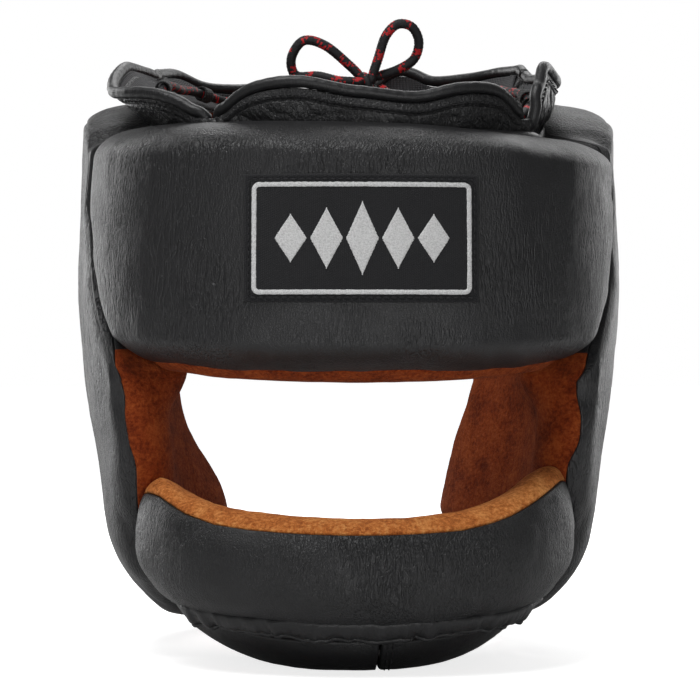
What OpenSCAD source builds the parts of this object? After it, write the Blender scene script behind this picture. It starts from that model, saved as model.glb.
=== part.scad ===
// Boxing headguard with a padded face bar, an open crown with a lace and a two-piece chin cup.
// The front faces -Y, +X is to the right as seen from the front, and the part stands on z = 0.
// Names that end in _l lie at -X and names that end in _r lie at +X.
// The pads share one shell: an angle goes round the head from the front, and a depth goes in from the outside.

/* [Head space] */
// Width of the head space between the side pads
head_w = 158; // [150:1:168]
// Length of the head space from the brow pad to the back pad
head_d = 198; // [190:1:208]
// How far the head space lies behind the middle of the pads' outline
head_back = 7; // [4:1:10]

/* [Brow pad] */
// Height of the brow pad
brow_h = 100; // [88:1:108]
// Thickness of the brow pad
brow_t = 33; // [28:1:38]
// Width of the rolled edge of the brow pad
brow_roll = 14; // [12:1:24]

/* [Side pads] */
// Thickness of the side pads at the temples
side_t = 37; // [32:1:42]
// Thickness of the side pads beside the eye window
cheek_t = 22; // [18:1:26]
// Thickness of the side pads at the edge of the jaw
jaw_t = 9; // [8:0.5:12]
// Thickness of the wings that reach round the nape
wing_t = 12; // [10:0.5:15]
// How far the side pads rise above the brow pad
side_rise = 22; // [12:1:24]
// How far the right wing leans in at its rear edge
wing_lean = 12; // [0:1:16]
// How far the right side pad sags inwards beside the ear
ear_lean_r = 20; // [0:1:24]
// How far the left side pad sags inwards beside the ear
ear_lean_l = 16; // [0:1:24]

/* [Back pad] */
// Thickness of the back pad
back_t = 32; // [26:1:36]
// Half of the angle that the back pad covers
back_half = 29.4; // [24:0.2:29.4]

/* [Face bar] */
// Height of the face bar's lowest point above the rest plane
bar_z = 19; // [18:1:24]
// Height of the face bar
bar_h = 41; // [34:1:44]
// Thickness of the face bar
bar_t = 34; // [28:1:38]
// How far the face bar stands ahead of the brow pad
bar_lead = 12; // [8:1:16]
// How far the ends of the face bar rise
bar_rise = 9; // [4:1:12]
// Clear height of the eye window at the middle
window_h = 58; // [50:1:64]

/* [Chin cup] */
// Height of the front lip of the chin cup at the middle
lip_h = 13.5; // [10:0.5:15]
// Length of the chin cup from front to back at the middle
cup_d = 54; // [44:1:60]
// Thickness of the chin pieces
chin_t = 4.5; // [3.5:0.5:5.5]
// Where the outer chin flap ends, to the right of the middle
flap_end_x = 8; // [0:1:20]
// How far the inner chin piece reaches under the flap
chin_lap = 34; // [24:1:38]

/* [Nape strap] */
// Width of the nape strap
strap_w = 32; // [26:1:34]
// Thickness of the nape strap
strap_t = 2.5; // [2:0.5:4]
// Thickness of each hook or loop patch
patch_t = 0.9; // [0.8:0.1:1.4]

/* [Layers] */
// Thickness of the leather
leather_t = 1.2; // [1:0.1:1.6]
// Thickness of the suede lining
suede_t = 1.2; // [1:0.1:1.6]
// Thickness of the ribbed fabric that lines the crown
fabric_t = 0.8; // [0.6:0.1:1]
// Clearance between layers that lie on each other
gap = 0.3; // [0.25:0.05:0.5]

/* [Trim] */
// Diameter of the piping on the crown flaps
piping_d = 5; // [4:0.5:6]
// Diameter of the binding along the chin lip
binding_d = 4.4; // [3.6:0.2:5]
// Width of the woven patch on the brow
label_w = 93; // [70:1:100]
// Height of the woven patch on the brow
label_h = 51; // [36:1:54]
// Diameter of the lace
lace_d = 4; // [3:0.5:4.5]

/* [Hidden] */

// Heights of the main levels
bar_top = bar_z + bar_h;
brow_z0 = bar_top + window_h;
brow_z1 = brow_z0 + brow_h;
side_top = brow_z1 + side_rise;
jaw_z = bar_z - 3;

// Half sizes of the outline at its widest, with the box centred on y = 0
half_w = head_w / 2 + side_t;
brow_front = head_d / 2 - head_back + brow_t;
bar_front = brow_front + bar_lead;
back_rear = head_d / 2 + head_back + back_t;
mid_y = (back_rear - bar_front) / 2;

// The outline's roundness, where 2 is an ellipse and more is squarer
round_n = 2.4;

// How far the outside draws in from its widest, at each height
side_draw = [[0, 60], [jaw_z - 8, 50], [jaw_z, 39], [jaw_z + 8, 29], [jaw_z + 16, 21.5], [jaw_z + 24, 16.5],
    [bar_top - 10, 12.5], [bar_top, 10.5], [bar_top + 18, 8], [brow_z0 - 21, 5.5], [brow_z0, 2.5],
    [brow_z0 + brow_h * 0.32, 0], [brow_z0 + brow_h * 0.72, 0.5], [brow_z1, 1.8], [side_top - 8, 3],
    [side_top, 5], [side_top + 10, 9]];
// How far the front of the outline lies behind the front of the bar, at each height
front_draw = [[0, 34], [jaw_z, 18], [bar_z + bar_h * 0.5, 3], [bar_top, 3], [bar_top + 20, 8],
    [brow_z0, bar_lead], [brow_z1 - 20, bar_lead], [brow_z1, bar_lead + 2], [side_top, bar_lead + 7]];
// How far the back of the outline lies ahead of the rear of the back pad, at each height
rear_draw = [[0, 20], [bar_top - 10, 19], [brow_z0, 5], [brow_z0 + brow_h * 0.5, 0], [brow_z1, 4], [side_top, 10]];
// How far the wings draw in where the sides draw in more
wing_draw = 18;

function mix(a, b, f) = a + (b - a) * f;
function clamp(x) = max(0, min(1, x));
function ease(x) = let (c = clamp(x)) c * c * (3 - 2 * c);
function spow(v, e) = v < 0 ? -pow(-v, e) : pow(v, e);

// A smooth curve through the points of a list, for u from 0 to 1
function curve(list, u) =
    let (n = len(list) - 1, k = max(0, min(n - 1, floor(u * n))), f = u * n - k,
        a = list[max(0, k - 1)], b = list[k], c = list[k + 1], d = list[min(n, k + 2)])
    0.5 * (2 * b + (c - a) * f + (2 * a - 5 * b + 4 * c - d) * f * f + (3 * b - a - 3 * c + d) * f * f * f);

// Places from 0 to 1 that crowd towards both ends
function crowd(i, n, k = 0.75) = let (u = i / n) u - k * sin(360 * u) / (2 * PI);

// The outline's half width, and its reach to the front and to the rear
function wide(th, z) =
    let (d = lookup(z, side_draw), w = ease((abs(th) - 100) / 50))
    half_w - (z < bar_top ? mix(d, min(d, wing_draw), w) : d);
function front(z) = bar_front - lookup(z, front_draw);
function rear(z) = back_rear - lookup(z, rear_draw);

// The point on the shell at an angle round the head, a height and a depth below the outside.
// The lean holds the wing's lean, the sag beside the ear, and the height where that sag ends.
function shell(th, z, depth, lean = [0, 0, 0]) =
    let (e = 2 / round_n, c = cos(th),
        x = (wide(th, z) - depth) * spow(sin(th), e),
        y = -((c > 0 ? front(z) : rear(z)) - depth) * spow(c, e),
        k = lean[0] * ease((y + 10) / 90) * ease((brow_z0 + 4 - z) / 30)
            + lean[1] * ease((y + 30) / 60) * (1 - ease((y - 40) / 45)) * ease((lean[2] - z) / 45) * ease((z - 35) / 25))
    [x - k, y - mid_y, z];

// How much of its thickness a pad has at a distance from an edge that rolls over a given width
function roll(w, r) = let (c = 1 - clamp(w / r)) sqrt(max(0, 1 - c * c));

// Faces of a closed solid between an outer grid and an inner grid of the same size
function solid_faces(n, m) =
    let (k = n * m)
    concat(
        [for (i = [0:n - 2], j = [0:m - 2]) each
            [[i * m + j, i * m + j + 1, (i + 1) * m + j + 1], [i * m + j, (i + 1) * m + j + 1, (i + 1) * m + j]]],
        [for (i = [0:n - 2], j = [0:m - 2]) each
            [[k + i * m + j, k + (i + 1) * m + j + 1, k + i * m + j + 1],
            [k + i * m + j, k + (i + 1) * m + j, k + (i + 1) * m + j + 1]]],
        [for (i = [0:n - 2]) each
            [[i * m, (i + 1) * m, k + (i + 1) * m], [i * m, k + (i + 1) * m, k + i * m],
            [i * m + m - 1, k + (i + 1) * m + m - 1, (i + 1) * m + m - 1],
            [i * m + m - 1, k + i * m + m - 1, k + (i + 1) * m + m - 1]]],
        [for (j = [0:m - 2]) each
            [[j, k + j + 1, j + 1], [j, k + j, k + j + 1],
            [(n - 1) * m + j, (n - 1) * m + j + 1, k + (n - 1) * m + j + 1],
            [(n - 1) * m + j, k + (n - 1) * m + j + 1, k + (n - 1) * m + j]]]);

// A closed solid between two grids of points
module between(outer, inner, flip = false) {
    n = len(outer);
    m = len(outer[0]);
    faces = solid_faces(n, m);
    polyhedron(
        points = concat([for (row = outer) each row], [for (row = inner) each row]),
        faces = flip ? [for (f = faces) [f[2], f[1], f[0]]] : faces);
}

// A closed tube through a list of points, with a flat cut where it meets the rest plane
module tube(path, d, sides = 8) {
    n = len(path);
    t = [for (i = [0:n - 1]) let (v = path[min(n - 1, i + 1)] - path[max(0, i - 1)]) v / norm(v)];
    a0 = let (w = cross(t[0], abs(t[0][2]) < 0.9 ? [0, 0, 1] : [0, 1, 0])) w / norm(w);
    a = [for (i = 0, w = a0; i < n;
            i = i + 1, w = i < n ? let (q = w - (w * t[i]) * t[i]) q / norm(q) : w) w];
    points = [for (i = [0:n - 1]) let (b = cross(t[i], a[i])) for (k = [0:sides - 1])
        let (p = path[i] + d / 2 * (cos(360 * k / sides) * a[i] + sin(360 * k / sides) * b))
        [p[0], p[1], max(0, p[2])]];
    polyhedron(points = points, faces = concat(
        [for (i = [0:n - 2], k = [0:sides - 1]) let (q = (k + 1) % sides) each
            [[i * sides + k, (i + 1) * sides + q, i * sides + q], [i * sides + k, (i + 1) * sides + k, (i + 1) * sides + q]]],
        [for (k = [1:sides - 2]) [0, k, k + 1]],
        [for (k = [1:sides - 2]) let (s = (n - 1) * sides) [s, s + k + 1, s + k]]));
}

// Brow pad

// The brow pad's ends follow a barrel shape, and its lower edge rises a little to the sides.
// Where two pads meet, each one rolls down over the last few millimetres.
brow_ends = [56, 65, 70, 72.5, 72];
seam_roll = 9;
function brow_at(u, v, cut, depth, base) =
    let (end = curve(brow_ends, v),
        lw = brow_front * 1.02, span = 2 * lw * end / 57.3, tall = brow_h,
        uu = mix(cut / span, 1 - cut / span, u), vv = mix(cut / tall, 1 - cut / tall, v),
        th = mix(-end, end, uu), low = 4 * pow(th / 53, 2) * (1 - vv),
        us = span - 2 * cut, vs = tall - 2 * cut,
        p = roll(u * us, seam_roll) * roll((1 - u) * us, seam_roll) * roll(v * vs, brow_roll) * roll((1 - v) * vs, brow_roll))
    shell(th, mix(brow_z0, brow_z1, vv) + low, layer(brow_t, depth, base, p));

// A pad's filling keeps this far in from the pad's edge, and its own edge is this high
edge_in = leather_t + 3 * gap;
rim_in = edge_in + 2 * gap;
foam_edge = 1;
// Height of the covers' outer edge above the inner side, where they turn over the pads
rim_t = 0.4;
// How far below the outside a layer lies, for a share p of the pad's thickness t.
// The base is the height at which the layer's own edge begins, and a negative depth is a height above the inner side.
function layer(t, depth, base, p) = depth < 0 ? t + depth : t - max(base, (t - depth) * p);

function brow_grid(cut, depth, base, nu = 16, nv = 8) =
    [for (i = [0:nu]) [for (j = [0:nv]) brow_at(crowd(i, nu, 0.85), crowd(j, nv), cut, depth, base)]];

module brow_cover() {
    color("#343436") between(brow_grid(0, 0, rim_t), brow_grid(leather_t, leather_t, 0));
}
module brow_foam() {
    color("#d8d4c8") between(brow_grid(rim_in, leather_t + 1.5 * gap, suede_t + gap + foam_edge), brow_grid(rim_in, -(suede_t + gap), 0));
}
module brow_lining() {
    color("#b4602c") between(brow_grid(rim_in + gap, -suede_t, 0), brow_grid(rim_in + gap, -0.001, 0));
}

// The woven patch lies on the outside of the brow pad
label_z = brow_z0 + brow_h * 0.55;
function label_grid(off, nu = 8, nv = 2) =
    let (a = asin(pow(label_w / 2 / half_w, round_n / 2)))
    [for (i = [0:nu]) [for (j = [0:nv]) shell(mix(-a, a, i / nu), label_z + label_h * (j / nv - 0.5), off)]];
module brow_patch() {
    color("#232325") between(label_grid(-gap - 0.1 - patch_t), label_grid(-gap - 0.1));
}

// Side pads

// Where the crown's seam runs, as a height at each angle
function seam_z(th) = lookup(abs(th), [[0, brow_z1], [66, brow_z1], [73, brow_z1 + 1], [80, brow_z1 + side_rise * 0.41],
    [88, brow_z1 + side_rise * 0.8], [100, side_top], [150, side_top - 2], [180, side_top - 4]]);

// Each row holds the inner edge and the outer edge of the side pad as angle and height.
// The rows go from the top of the back, round the eye window, to the end of the wing.
side_rows = [
    [150.4, brow_z0 + 1, 150.4, seam_z(150)],
    [134, brow_z0 + 1, 128, seam_z(128)],
    [119, brow_z0 + 1, 104, seam_z(104)],
    [109, brow_z0, 88, seam_z(88)],
    [103, brow_z0 - 1, 73.6, brow_z1 + 0.8],
    [100, brow_z0 - 3, 73.9, brow_z0 + brow_h * 0.72],
    [99, brow_z0 - 7, 69, brow_z0 + brow_h * 0.36],
    [99, brow_z0 - 12, 58.8, brow_z0 + 6],
    [100, brow_z0 - 17, 56.3, brow_z0 - 4],
    [101.5, brow_z0 - 23, 56, brow_z0 - 14],
    [104, brow_z0 - 29, 56, bar_top + 32],
    [106, brow_z0 - 35, 56.5, bar_top + 22],
    [108, bar_top + 20, 60, bar_top + 9],
    [110, bar_top + 16.5, 65.5, bar_top - 8],
    [113, bar_top + 12, 68, bar_z + 9],
    [118, bar_top + 6, 79, jaw_z + 0.5],
    [125, bar_top - 1, 98, jaw_z],
    [135, bar_top - 9, 119, 11.5],
    [146, bar_top - 13.5, 140, 6.4],
    [158, bar_top - 14, 158, 6]];

function side_thick(th, z) =
    let (low = th < 92 ? mix(cheek_t, side_t, ease((th - 58) / 34)) : mix(side_t, wing_t, ease((th - 92) / 46)),
        high = th < 90 ? mix(brow_t, side_t, ease((th - 58) / 25)) : mix(side_t, back_t, ease((th - 115) / 33)),
        t = mix(low, high, ease((z - brow_z0 + 18) / 20)))
    mix(min(jaw_t, wing_t), t, ease((z - 16) / 34));

function side_at(t, s, cut, depth, base, lean) =
    let (e = 0.002,
        p0 = curve(side_rows, t), in0 = shell(p0[0], p0[1], 10), out0 = shell(p0[2], p0[3], 10),
        width = norm(out0 - in0) * 1.03,
        a0 = curve(side_rows, e), a1 = curve(side_rows, 0),
        b0 = curve(side_rows, 1 - e), b1 = curve(side_rows, 1),
        go0 = norm(shell(a0[0], a0[1], 10) - shell(a1[0], a1[1], 10)) / e,
        go1 = norm(shell(b0[0], b0[1], 6) - shell(b1[0], b1[1], 6)) / e,
        tt = mix(1.3 * cut / go0, 1 - 1.3 * cut / go1, t), ss = mix(cut / width, 1 - cut / width, s),
        q = curve(side_rows, tt), th = mix(q[0], q[2], ss), z = mix(q[1], q[3], ss),
        thick = side_thick(th, z), r = min(thick * 0.75, width * 0.45), ws = width - 2 * cut,
        r1 = mix(seam_roll, r, ease((tt * (len(side_rows) - 1) - 7.6) / 1.2)),
        p = roll(s * ws, r) * roll((1 - s) * ws, r1) * roll(t * go0, seam_roll) * roll((1 - t) * go1, 6))
    shell(th, z, layer(thick, depth, base, p), lean);

function side_grid(cut, depth, base, lean, nt = 20, ns = 7) =
    [for (i = [0:nt]) [for (j = [0:ns]) side_at(crowd(i, nt, 0.6), crowd(j, ns), cut, depth, base, lean)]];

// How far the side pad's filling and lining keep in from its edge
side_in = edge_in + 15 * gap;

// Builds a side pad's layer at +X, or its mirror image at -X
module side(at, outer, inner) {
    mirror([at < 0 ? 1 : 0, 0, 0]) between(outer, inner, true);
}
function lean_of(at) = at < 0 ? [0, ear_lean_l, brow_z0 - 13] : [wing_lean, ear_lean_r, brow_z0 + 34];
module side_cover(at) {
    l = lean_of(at);
    color("#343436") side(at, side_grid(0, 0, 0, l), side_grid(leather_t, leather_t, 0, l));
}
module side_foam(at) {
    l = lean_of(at);
    outer = side_grid(side_in, leather_t + 12 * gap, suede_t + gap + foam_edge, l);
    color("#d8d4c8") side(at, outer, side_grid(side_in, -(suede_t + gap), 0, l));
}
module side_lining(at) {
    l = lean_of(at);
    color("#b4602c") side(at, side_grid(side_in, -suede_t, 0, l), side_grid(side_in, -0.001, 0, l));
}

// Back pad

function back_at(u, v, cut, depth, base) =
    let (z0 = brow_z0 + 1, tall = seam_z(180) - z0, span = 2 * (back_rear - 8) * back_half / 57.3,
        uu = mix(cut / span, 1 - cut / span, u), vv = mix(cut / tall, 1 - cut / tall, v),
        th = 180 + mix(-back_half, back_half, uu), z1 = seam_z(th > 180 ? 360 - th : th),
        us = span - 2 * cut, vs = tall - 2 * cut,
        p = roll(u * us, seam_roll) * roll((1 - u) * us, seam_roll) * roll(v * vs, 20) * roll((1 - v) * vs, 12))
    shell(th, mix(z0, z1, vv), layer(back_t, depth, base, p));
function back_grid(cut, depth, base, nu = 10, nv = 7) =
    [for (i = [0:nu]) [for (j = [0:nv]) back_at(crowd(i, nu, 0.6), crowd(j, nv), cut, depth, base)]];
module back_cover() {
    color("#343436") between(back_grid(0, 0, rim_t), back_grid(leather_t, leather_t, 0));
}
module back_foam() {
    color("#d8d4c8") between(back_grid(rim_in, leather_t + 1.5 * gap, suede_t + gap + foam_edge), back_grid(rim_in, -(suede_t + gap), 0));
}
module back_lining() {
    color("#b4602c") between(back_grid(rim_in + gap, -suede_t, 0), back_grid(rim_in + gap, -0.001, 0));
}

// Face bar

bar_half_w = half_w - 12.5 - bar_t / 2;
bar_half_d = bar_front - bar_t / 2;
bar_end = 65.3;
bar_round = 50;
// Where the leather of the bar meets its suede, above and below
bar_seam = 46;
bar_under = -92;

// The middle line of the bar, and the direction that points out from it
function bar_mid(th) =
    let (e = 2 / round_n, x = bar_half_w * spow(sin(th), e), y = -bar_half_d * pow(cos(th), e))
    [x, y - mid_y, bar_z + bar_h / 2 + bar_rise * pow(x / (bar_half_w), 2)];
function bar_out(th) = let (v = bar_mid(th + 0.5) - bar_mid(th - 0.5), w = [v[1], -v[0], 0]) w / norm(w);
function bar_scale(th) = abs(th) < bar_round ? 1 : sqrt(max(0.1, 1 - 0.9 * pow((abs(th) - bar_round) / (bar_end - bar_round), 2)));

// A point of the bar's section, where 0 degrees points out and 90 degrees points up
function bar_at(th, phi, cut) =
    let (k = bar_scale(th), m = 2 / 2.3)
    bar_mid(th) + k * ((bar_t / 2 - cut) * spow(cos(phi), m) * bar_out(th) + (bar_h / 2 - cut) * spow(sin(phi), m) * [0, 0, 1]);
function bar_th(i, n) = mix(-bar_end, bar_end, crowd(i, n, 0.35));
function bar_sheet(phi0, phi1, cut, nu, nv) =
    [for (i = [0:nu]) [for (j = [0:nv]) bar_at(bar_th(i, nu), mix(phi0, phi1, j / nv), cut)]];

module bar_cover() {
    color("#343436") between(bar_sheet(bar_under, bar_seam, 0, 18, 7), bar_sheet(bar_under, bar_seam, leather_t, 18, 7));
}
module bar_lining() {
    color("#c06c34") between(bar_sheet(bar_seam + 2, 358 + bar_under, 0, 18, 9), bar_sheet(bar_seam + 2, 358 + bar_under, suede_t, 18, 9));
}

// The bar's filling is a front foam, a stiff band and a face-side foam, each a slice of the same section
core_t = 4;
core_at = -3;
function bar_slice(th, out0, out1, n = 5) =
    let (k = bar_scale(th), a = bar_a(), b = bar_a() + (bar_h - bar_t) / 2,
        edge = function (q) b * pow(max(0.02, 1 - pow(abs(q) / a, 2.3)), 1 / 2.3),
        qs = [for (i = [0:n]) mix(out0, out1, crowd(i, n, out0 < -a / 2 || out1 > a / 2 ? 0.5 : 0))])
    concat(
        [for (i = [0:n]) bar_mid(th) + k * (qs[i] * bar_out(th) + edge(qs[i]) * [0, 0, 1])],
        [for (i = [n:-1:0]) bar_mid(th) + k * (qs[i] * bar_out(th) - edge(qs[i]) * [0, 0, 1])]);
module bar_fill(out0, out1, n = 5, nu = 18) {
    rings = [for (i = [0:nu]) bar_slice(bar_th(i, nu), out0, out1, n)];
    m = len(rings[0]);
    polyhedron(points = [for (r = rings) each r], faces = concat(
        [for (i = [0:nu - 1], k = [0:m - 1]) let (q = (k + 1) % m) each
            [[i * m + k, (i + 1) * m + q, i * m + q], [i * m + k, (i + 1) * m + k, (i + 1) * m + q]]],
        [for (k = [1:m - 2]) [0, k, k + 1]],
        [for (k = [1:m - 2]) let (s = nu * m) [s, s + k + 1, s + k]]));
}
function bar_a() = bar_t / 2 - leather_t - 3 * gap;
module bar_foam() {
    color("#d8d4c8") bar_fill(core_at + core_t / 2 + gap, bar_a(), 5);
}
module bar_core() {
    color("#e8e8ec") bar_fill(core_at - core_t / 2, core_at + core_t / 2, 1);
}
module bar_foam_inner() {
    color("#d8d4c8") bar_fill(-bar_a(), core_at - core_t / 2 - gap, 4);
}

// The narrow leather skirt under the bar
function skirt_grid(up, nu = 16) =
    [for (i = [0:nu]) let (th = mix(-50, 50, i / nu), m = bar_mid(th), o = bar_out(th), z = m[2] - bar_h / 2 + 0.2)
        [for (j = [0:2]) [m[0], m[1], 0] + mix(4, -6, j / 2) * o + [0, 0, z - 1.1 * j / 2 - up]]];
module bar_skirt() {
    color("#343436") between(skirt_grid(leather_t), skirt_grid(0), true);
}

// Crown flaps

// Each flap has its first and last angle, its heights above the seam and how far it leans out, along its length
flaps = [
    [-35.5, 47.5, [8, 15, 17, 13, 11, 15, 15, 8], [2, 5, 6, 4, 3, 5, 5, 2]],
    [-103, -43.5, [8, 13, 15, 16, 14, 8], [9, 18, 23, 21, 12, 4]],
    [55.5, 102, [17, 27, 21, 11, 8, 7], [7, 11, 12, 11, 10, 8]],
    [-174.5, -111, [10, 11, 9, 9, 13, 11], [0, 2, 4, 8, 12, 12]],
    [110, 176.5, [13, 14, 13, 13, 19, 7], [9, 9, 6, 2, 0, 0]]];
flap_low = 0.35;

// A point of a flap: u along it, v up it, and in how far inside its outer face
function flap_at(f, u, v, in) =
    let (th = mix(f[0], f[1], u), h = curve(f[2], clamp(u)), o = curve(f[3], clamp(u)),
        a = abs(th), t = a < 58 ? brow_t : a < 150 ? side_t : back_t,
        base = mix(brow_t, side_t, ease((a - 50) / 20)) + (back_t - side_t) * ease((a - 140) / 20),
        w = sin(clamp(v) * 180) * 1.5)
    shell(th, seam_z(th) + flap_low - 0.75 * ease((50 - a) / 6) + v * h, base - 5 - v * o - w + in);
function flap_grid(f, in, nu, nv = 3) =
    [for (i = [0:nu]) [for (j = [0:nv]) flap_at(f, i / nu, j / nv, in)]];
module flap(k, nu = 10) {
    color("#343436") between(flap_grid(flaps[k], 0, nu), flap_grid(flaps[k], leather_t, nu));
}
module flap_lining(k, nu = 10) {
    color("#4a4a4c") between(flap_grid(flaps[k], leather_t + gap, nu), flap_grid(flaps[k], leather_t + gap + fabric_t, nu));
}

// The piping runs up one end of the flap, along its rim and down the other end
module piping(k, n = 12) {
    f = flaps[k];
    long = norm(flap_at(f, 0, 1, 0) - flap_at(f, 0.5, 1, 0)) + norm(flap_at(f, 1, 1, 0) - flap_at(f, 0.5, 1, 0));
    du = (piping_d / 2 + 5 * gap) / long;
    in = (leather_t + gap + fabric_t) / 2;
    rise = function (u) 1 + (piping_d / 2 + 5 * gap) / norm([curve(f[2], clamp(u)), curve(f[3], clamp(u))]);
    color("#2c2c2e") tube(concat(
        [for (v = [0.15, 0.75]) flap_at(f, -du, v, in)],
        [for (i = [0:n]) flap_at(f, mix(-du * 0.3, 1 + du * 0.3, i / n), rise(i / n), in)],
        [for (v = [0.75, 0.15]) flap_at(f, 1 + du, v, in)]), piping_d);
}

// Lace

// The lace runs round inside the crown, below the rims of the flaps
lace_in = 4.3;
function crown_in(th) =
    let (k = [for (f = flaps) if (th >= f[0] - 6 && th <= f[1] + 6) f], f = k[0], u = clamp((th - f[0]) / (f[1] - f[0])),
        slope = curve(f[3], u) / curve(f[2], u))
    flap_at(f, u, 0.5, leather_t + gap + fabric_t + lace_in * norm([1, slope]));
ring_path = concat(
    [[11.2, -59.5, 238]],
    [for (a = [14, 22, 30, 38, 46, 56, 66, 76, 86, 96, 106, 114, 124, 134, 144, 154, 164, 172]) crown_in(a)],
    [for (a = [-176, -168, -158, -148, -138, -128, -118, -108, -98, -88, -78, -68, -58, -48, -40, -32, -22, -12]) crown_in(a)],
    [[-1.2, -59.5, 238]]);
keeper_th = [22, 66, 86, 124, 154, -158, -128, -88, -58, -22];
keeper_w = 6;
module lace_ring() {
    color("#1c1c1e") tube(ring_path, lace_d);
}
module lace_keepers() {
    wall = 0.9;
    for (a = keeper_th) {
        p = crown_in(a);
        v = crown_in(a + 2) - crown_in(a - 2);
        color("#2c2c2e") translate(p) rotate([0, acos(v[2] / norm(v)), atan2(v[1], v[0])])
            difference() {
                cylinder(d = lace_d + 5 * gap + 2 * wall, h = keeper_w, center = true, $fn = 24);
                cylinder(d = lace_d + 5 * gap, h = keeper_w + 2, center = true, $fn = 24);
            }
    }
}

// Round-number points of the bow, its knot and its tails
knot_at = [5, -60, 239.4];
loop_l_points = [[2.5, -62, 242.5], [-2, -62, 247], [-12, -63, 255], [-21, -63, 257], [-26, -61, 250], [-24, -59, 243],
    [-15, -62, 242.5], [-7, -64, 240.5], [0, -64.5, 240]];
loop_r_points = [[7.5, -62, 242.5], [10, -62, 250], [13, -63, 259], [18, -63, 264], [24, -62, 263], [27, -60, 257],
    [25, -58, 250], [18, -58, 245.5], [10.5, -58.5, 243]];
tail_l_points = [[3, -56.2, 237.2], [-3, -52, 232], [-9, -50, 222], [-12, -52, 210], [-13, -54, 198], [-12, -55, 186], [-10, -56, 174]];
tail_r_points = [[7.5, -56.2, 237.2], [13.5, -52, 232], [18, -50, 222], [21, -52, 210], [23, -54, 198], [24, -55, 186], [24, -56, 176]];
function smooth(list, n) = [for (i = [0:n]) curve(list, i / n)];
module lace_knot() {
    color("#1c1c1e") tube([for (i = [0:14]) let (a = -60 + 420 * i / 14)
        knot_at + [-3.5 + 7 * i / 14, 3.2 * cos(a), 3.2 * sin(a)]], lace_d - 0.5);
}
module lace_loop_l() {
    color("#1c1c1e") tube(smooth(loop_l_points, 20), lace_d);
}
module lace_loop_r() {
    color("#1c1c1e") tube(smooth(loop_r_points, 20), lace_d);
}
module lace_tail_l() {
    color("#1c1c1e") tube(smooth(tail_l_points, 10), lace_d);
}
module lace_tail_r() {
    color("#1c1c1e") tube(smooth(tail_r_points, 10), lace_d);
}
// The stiff tips of the lace
tip_l = 14;
module lace_tips() {
    for (list = [tail_l_points, tail_r_points]) {
        p = list[len(list) - 1];
        v = p - list[len(list) - 2];
        color("#1c1c1e") translate(p + v / norm(v) * 0.2) rotate([0, acos(v[2] / norm(v)), atan2(v[1], v[0])])
            cylinder(d = lace_d + 0.4, h = tip_l, $fn = 20);
    }
}

// Chin cup

// The line on the lower edge of a side pad where the chin cup begins, from its front to its rear
cup_root = [[67.5, bar_z + 9], [70, bar_z + 2], [76, jaw_z + 0.2], [86, jaw_z - 0.6], [98, jaw_z]];
cup_front = -(bar_front - 25) - mid_y;
cup_mid = [[cup_front, lip_h], [cup_front + 3, 6], [cup_front + 10, 1], [cup_front + 22, -0.6], [cup_front + 36, -0.6],
    [cup_front + cup_d, 3]];

// A point of the cup: w from -1 at the left root to 1 at the right root, q from front to rear, in how far inside
function cup_skin(w, q) =
    let (r = curve(cup_root, q), p = shell(r[0], r[1] - gap - chin_t * 0.45, side_thick(r[0], r[1]) / 2, lean_of(w > 0 ? 1 : -1)), m = curve(cup_mid, q), a = abs(w))
    [p[0] * w, mix(m[0], p[1], pow(a, 2.2)), mix(m[1], p[2], pow(a, 3.2))];
function cup_at(w, q, in) =
    let (e = 0.01, a = cup_skin(w, min(1, q + e)) - cup_skin(w, max(0, q - e)), b = cup_skin(w + e, q) - cup_skin(w - e, q),
        n = cross(b, a), s = cup_skin(w, q) + in * n / norm(n))
    [s[0], s[1], max(in, s[2])];
fit = gap + 0.25;
chin_step = chin_t + 2 * patch_t + 3 * fit;
root_half_w = shell(80, jaw_z, side_thick(80, jaw_z) / 2)[0];
flap_w = flap_end_x / root_half_w;
inner_w = (flap_end_x + chin_lap) / root_half_w;
hinge_w = 0.86;
// How far the inner piece steps in to pass under the flap

function cup_rows(ws, in, step, nv = 6) =
    [for (w = ws) [for (j = [0:nv]) cup_at(w, j / nv, in + step * ease((w - flap_w + 0.065) / 0.05))]];
function cup_grid(w0, w1, in, step, nu) = cup_rows([for (i = [0:nu]) mix(w0, w1, i / nu)], in, step);
module chin_inner() {
    ws = concat([for (i = [0:8]) mix(-0.985, flap_w - 0.065, i / 8)], [flap_w - 0.015], [for (i = [1:5]) mix(flap_w - 0.015, inner_w, i / 5)]);
    color("#343436") between(cup_rows(ws, chin_t, chin_step), cup_rows(ws, 0, chin_step));
}
module chin_flap() {
    color("#343436") between(cup_grid(flap_w, hinge_w, chin_t, 0, 9), cup_grid(flap_w, hinge_w, 0, 0, 9));
}
module chin_root_r() {
    color("#343436") between(cup_grid(hinge_w + 0.008, 0.985, chin_t, 0, 3), cup_grid(hinge_w + 0.008, 0.985, 0, 0, 3));
}

// The rolled binding lies on the front lip of the cup
function lip_path(w0, w1, n, step = 0) =
    [for (i = [0:n]) let (w = mix(w0, w1, i / n), p = cup_at(w, 0, chin_t / 2 + step),
        v = cup_skin(w, 0) - cup_skin(w, 0.04)) p + v / norm(v) * (binding_d / 2 + gap)];
module chin_binding_l() {
    color("#2c2c2e") tube(lip_path(-0.94, flap_w - 0.1, 10), binding_d);
}
module chin_binding_r() {
    color("#2c2c2e") tube(lip_path(flap_w, hinge_w - 0.01, 10), binding_d);
}

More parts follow.
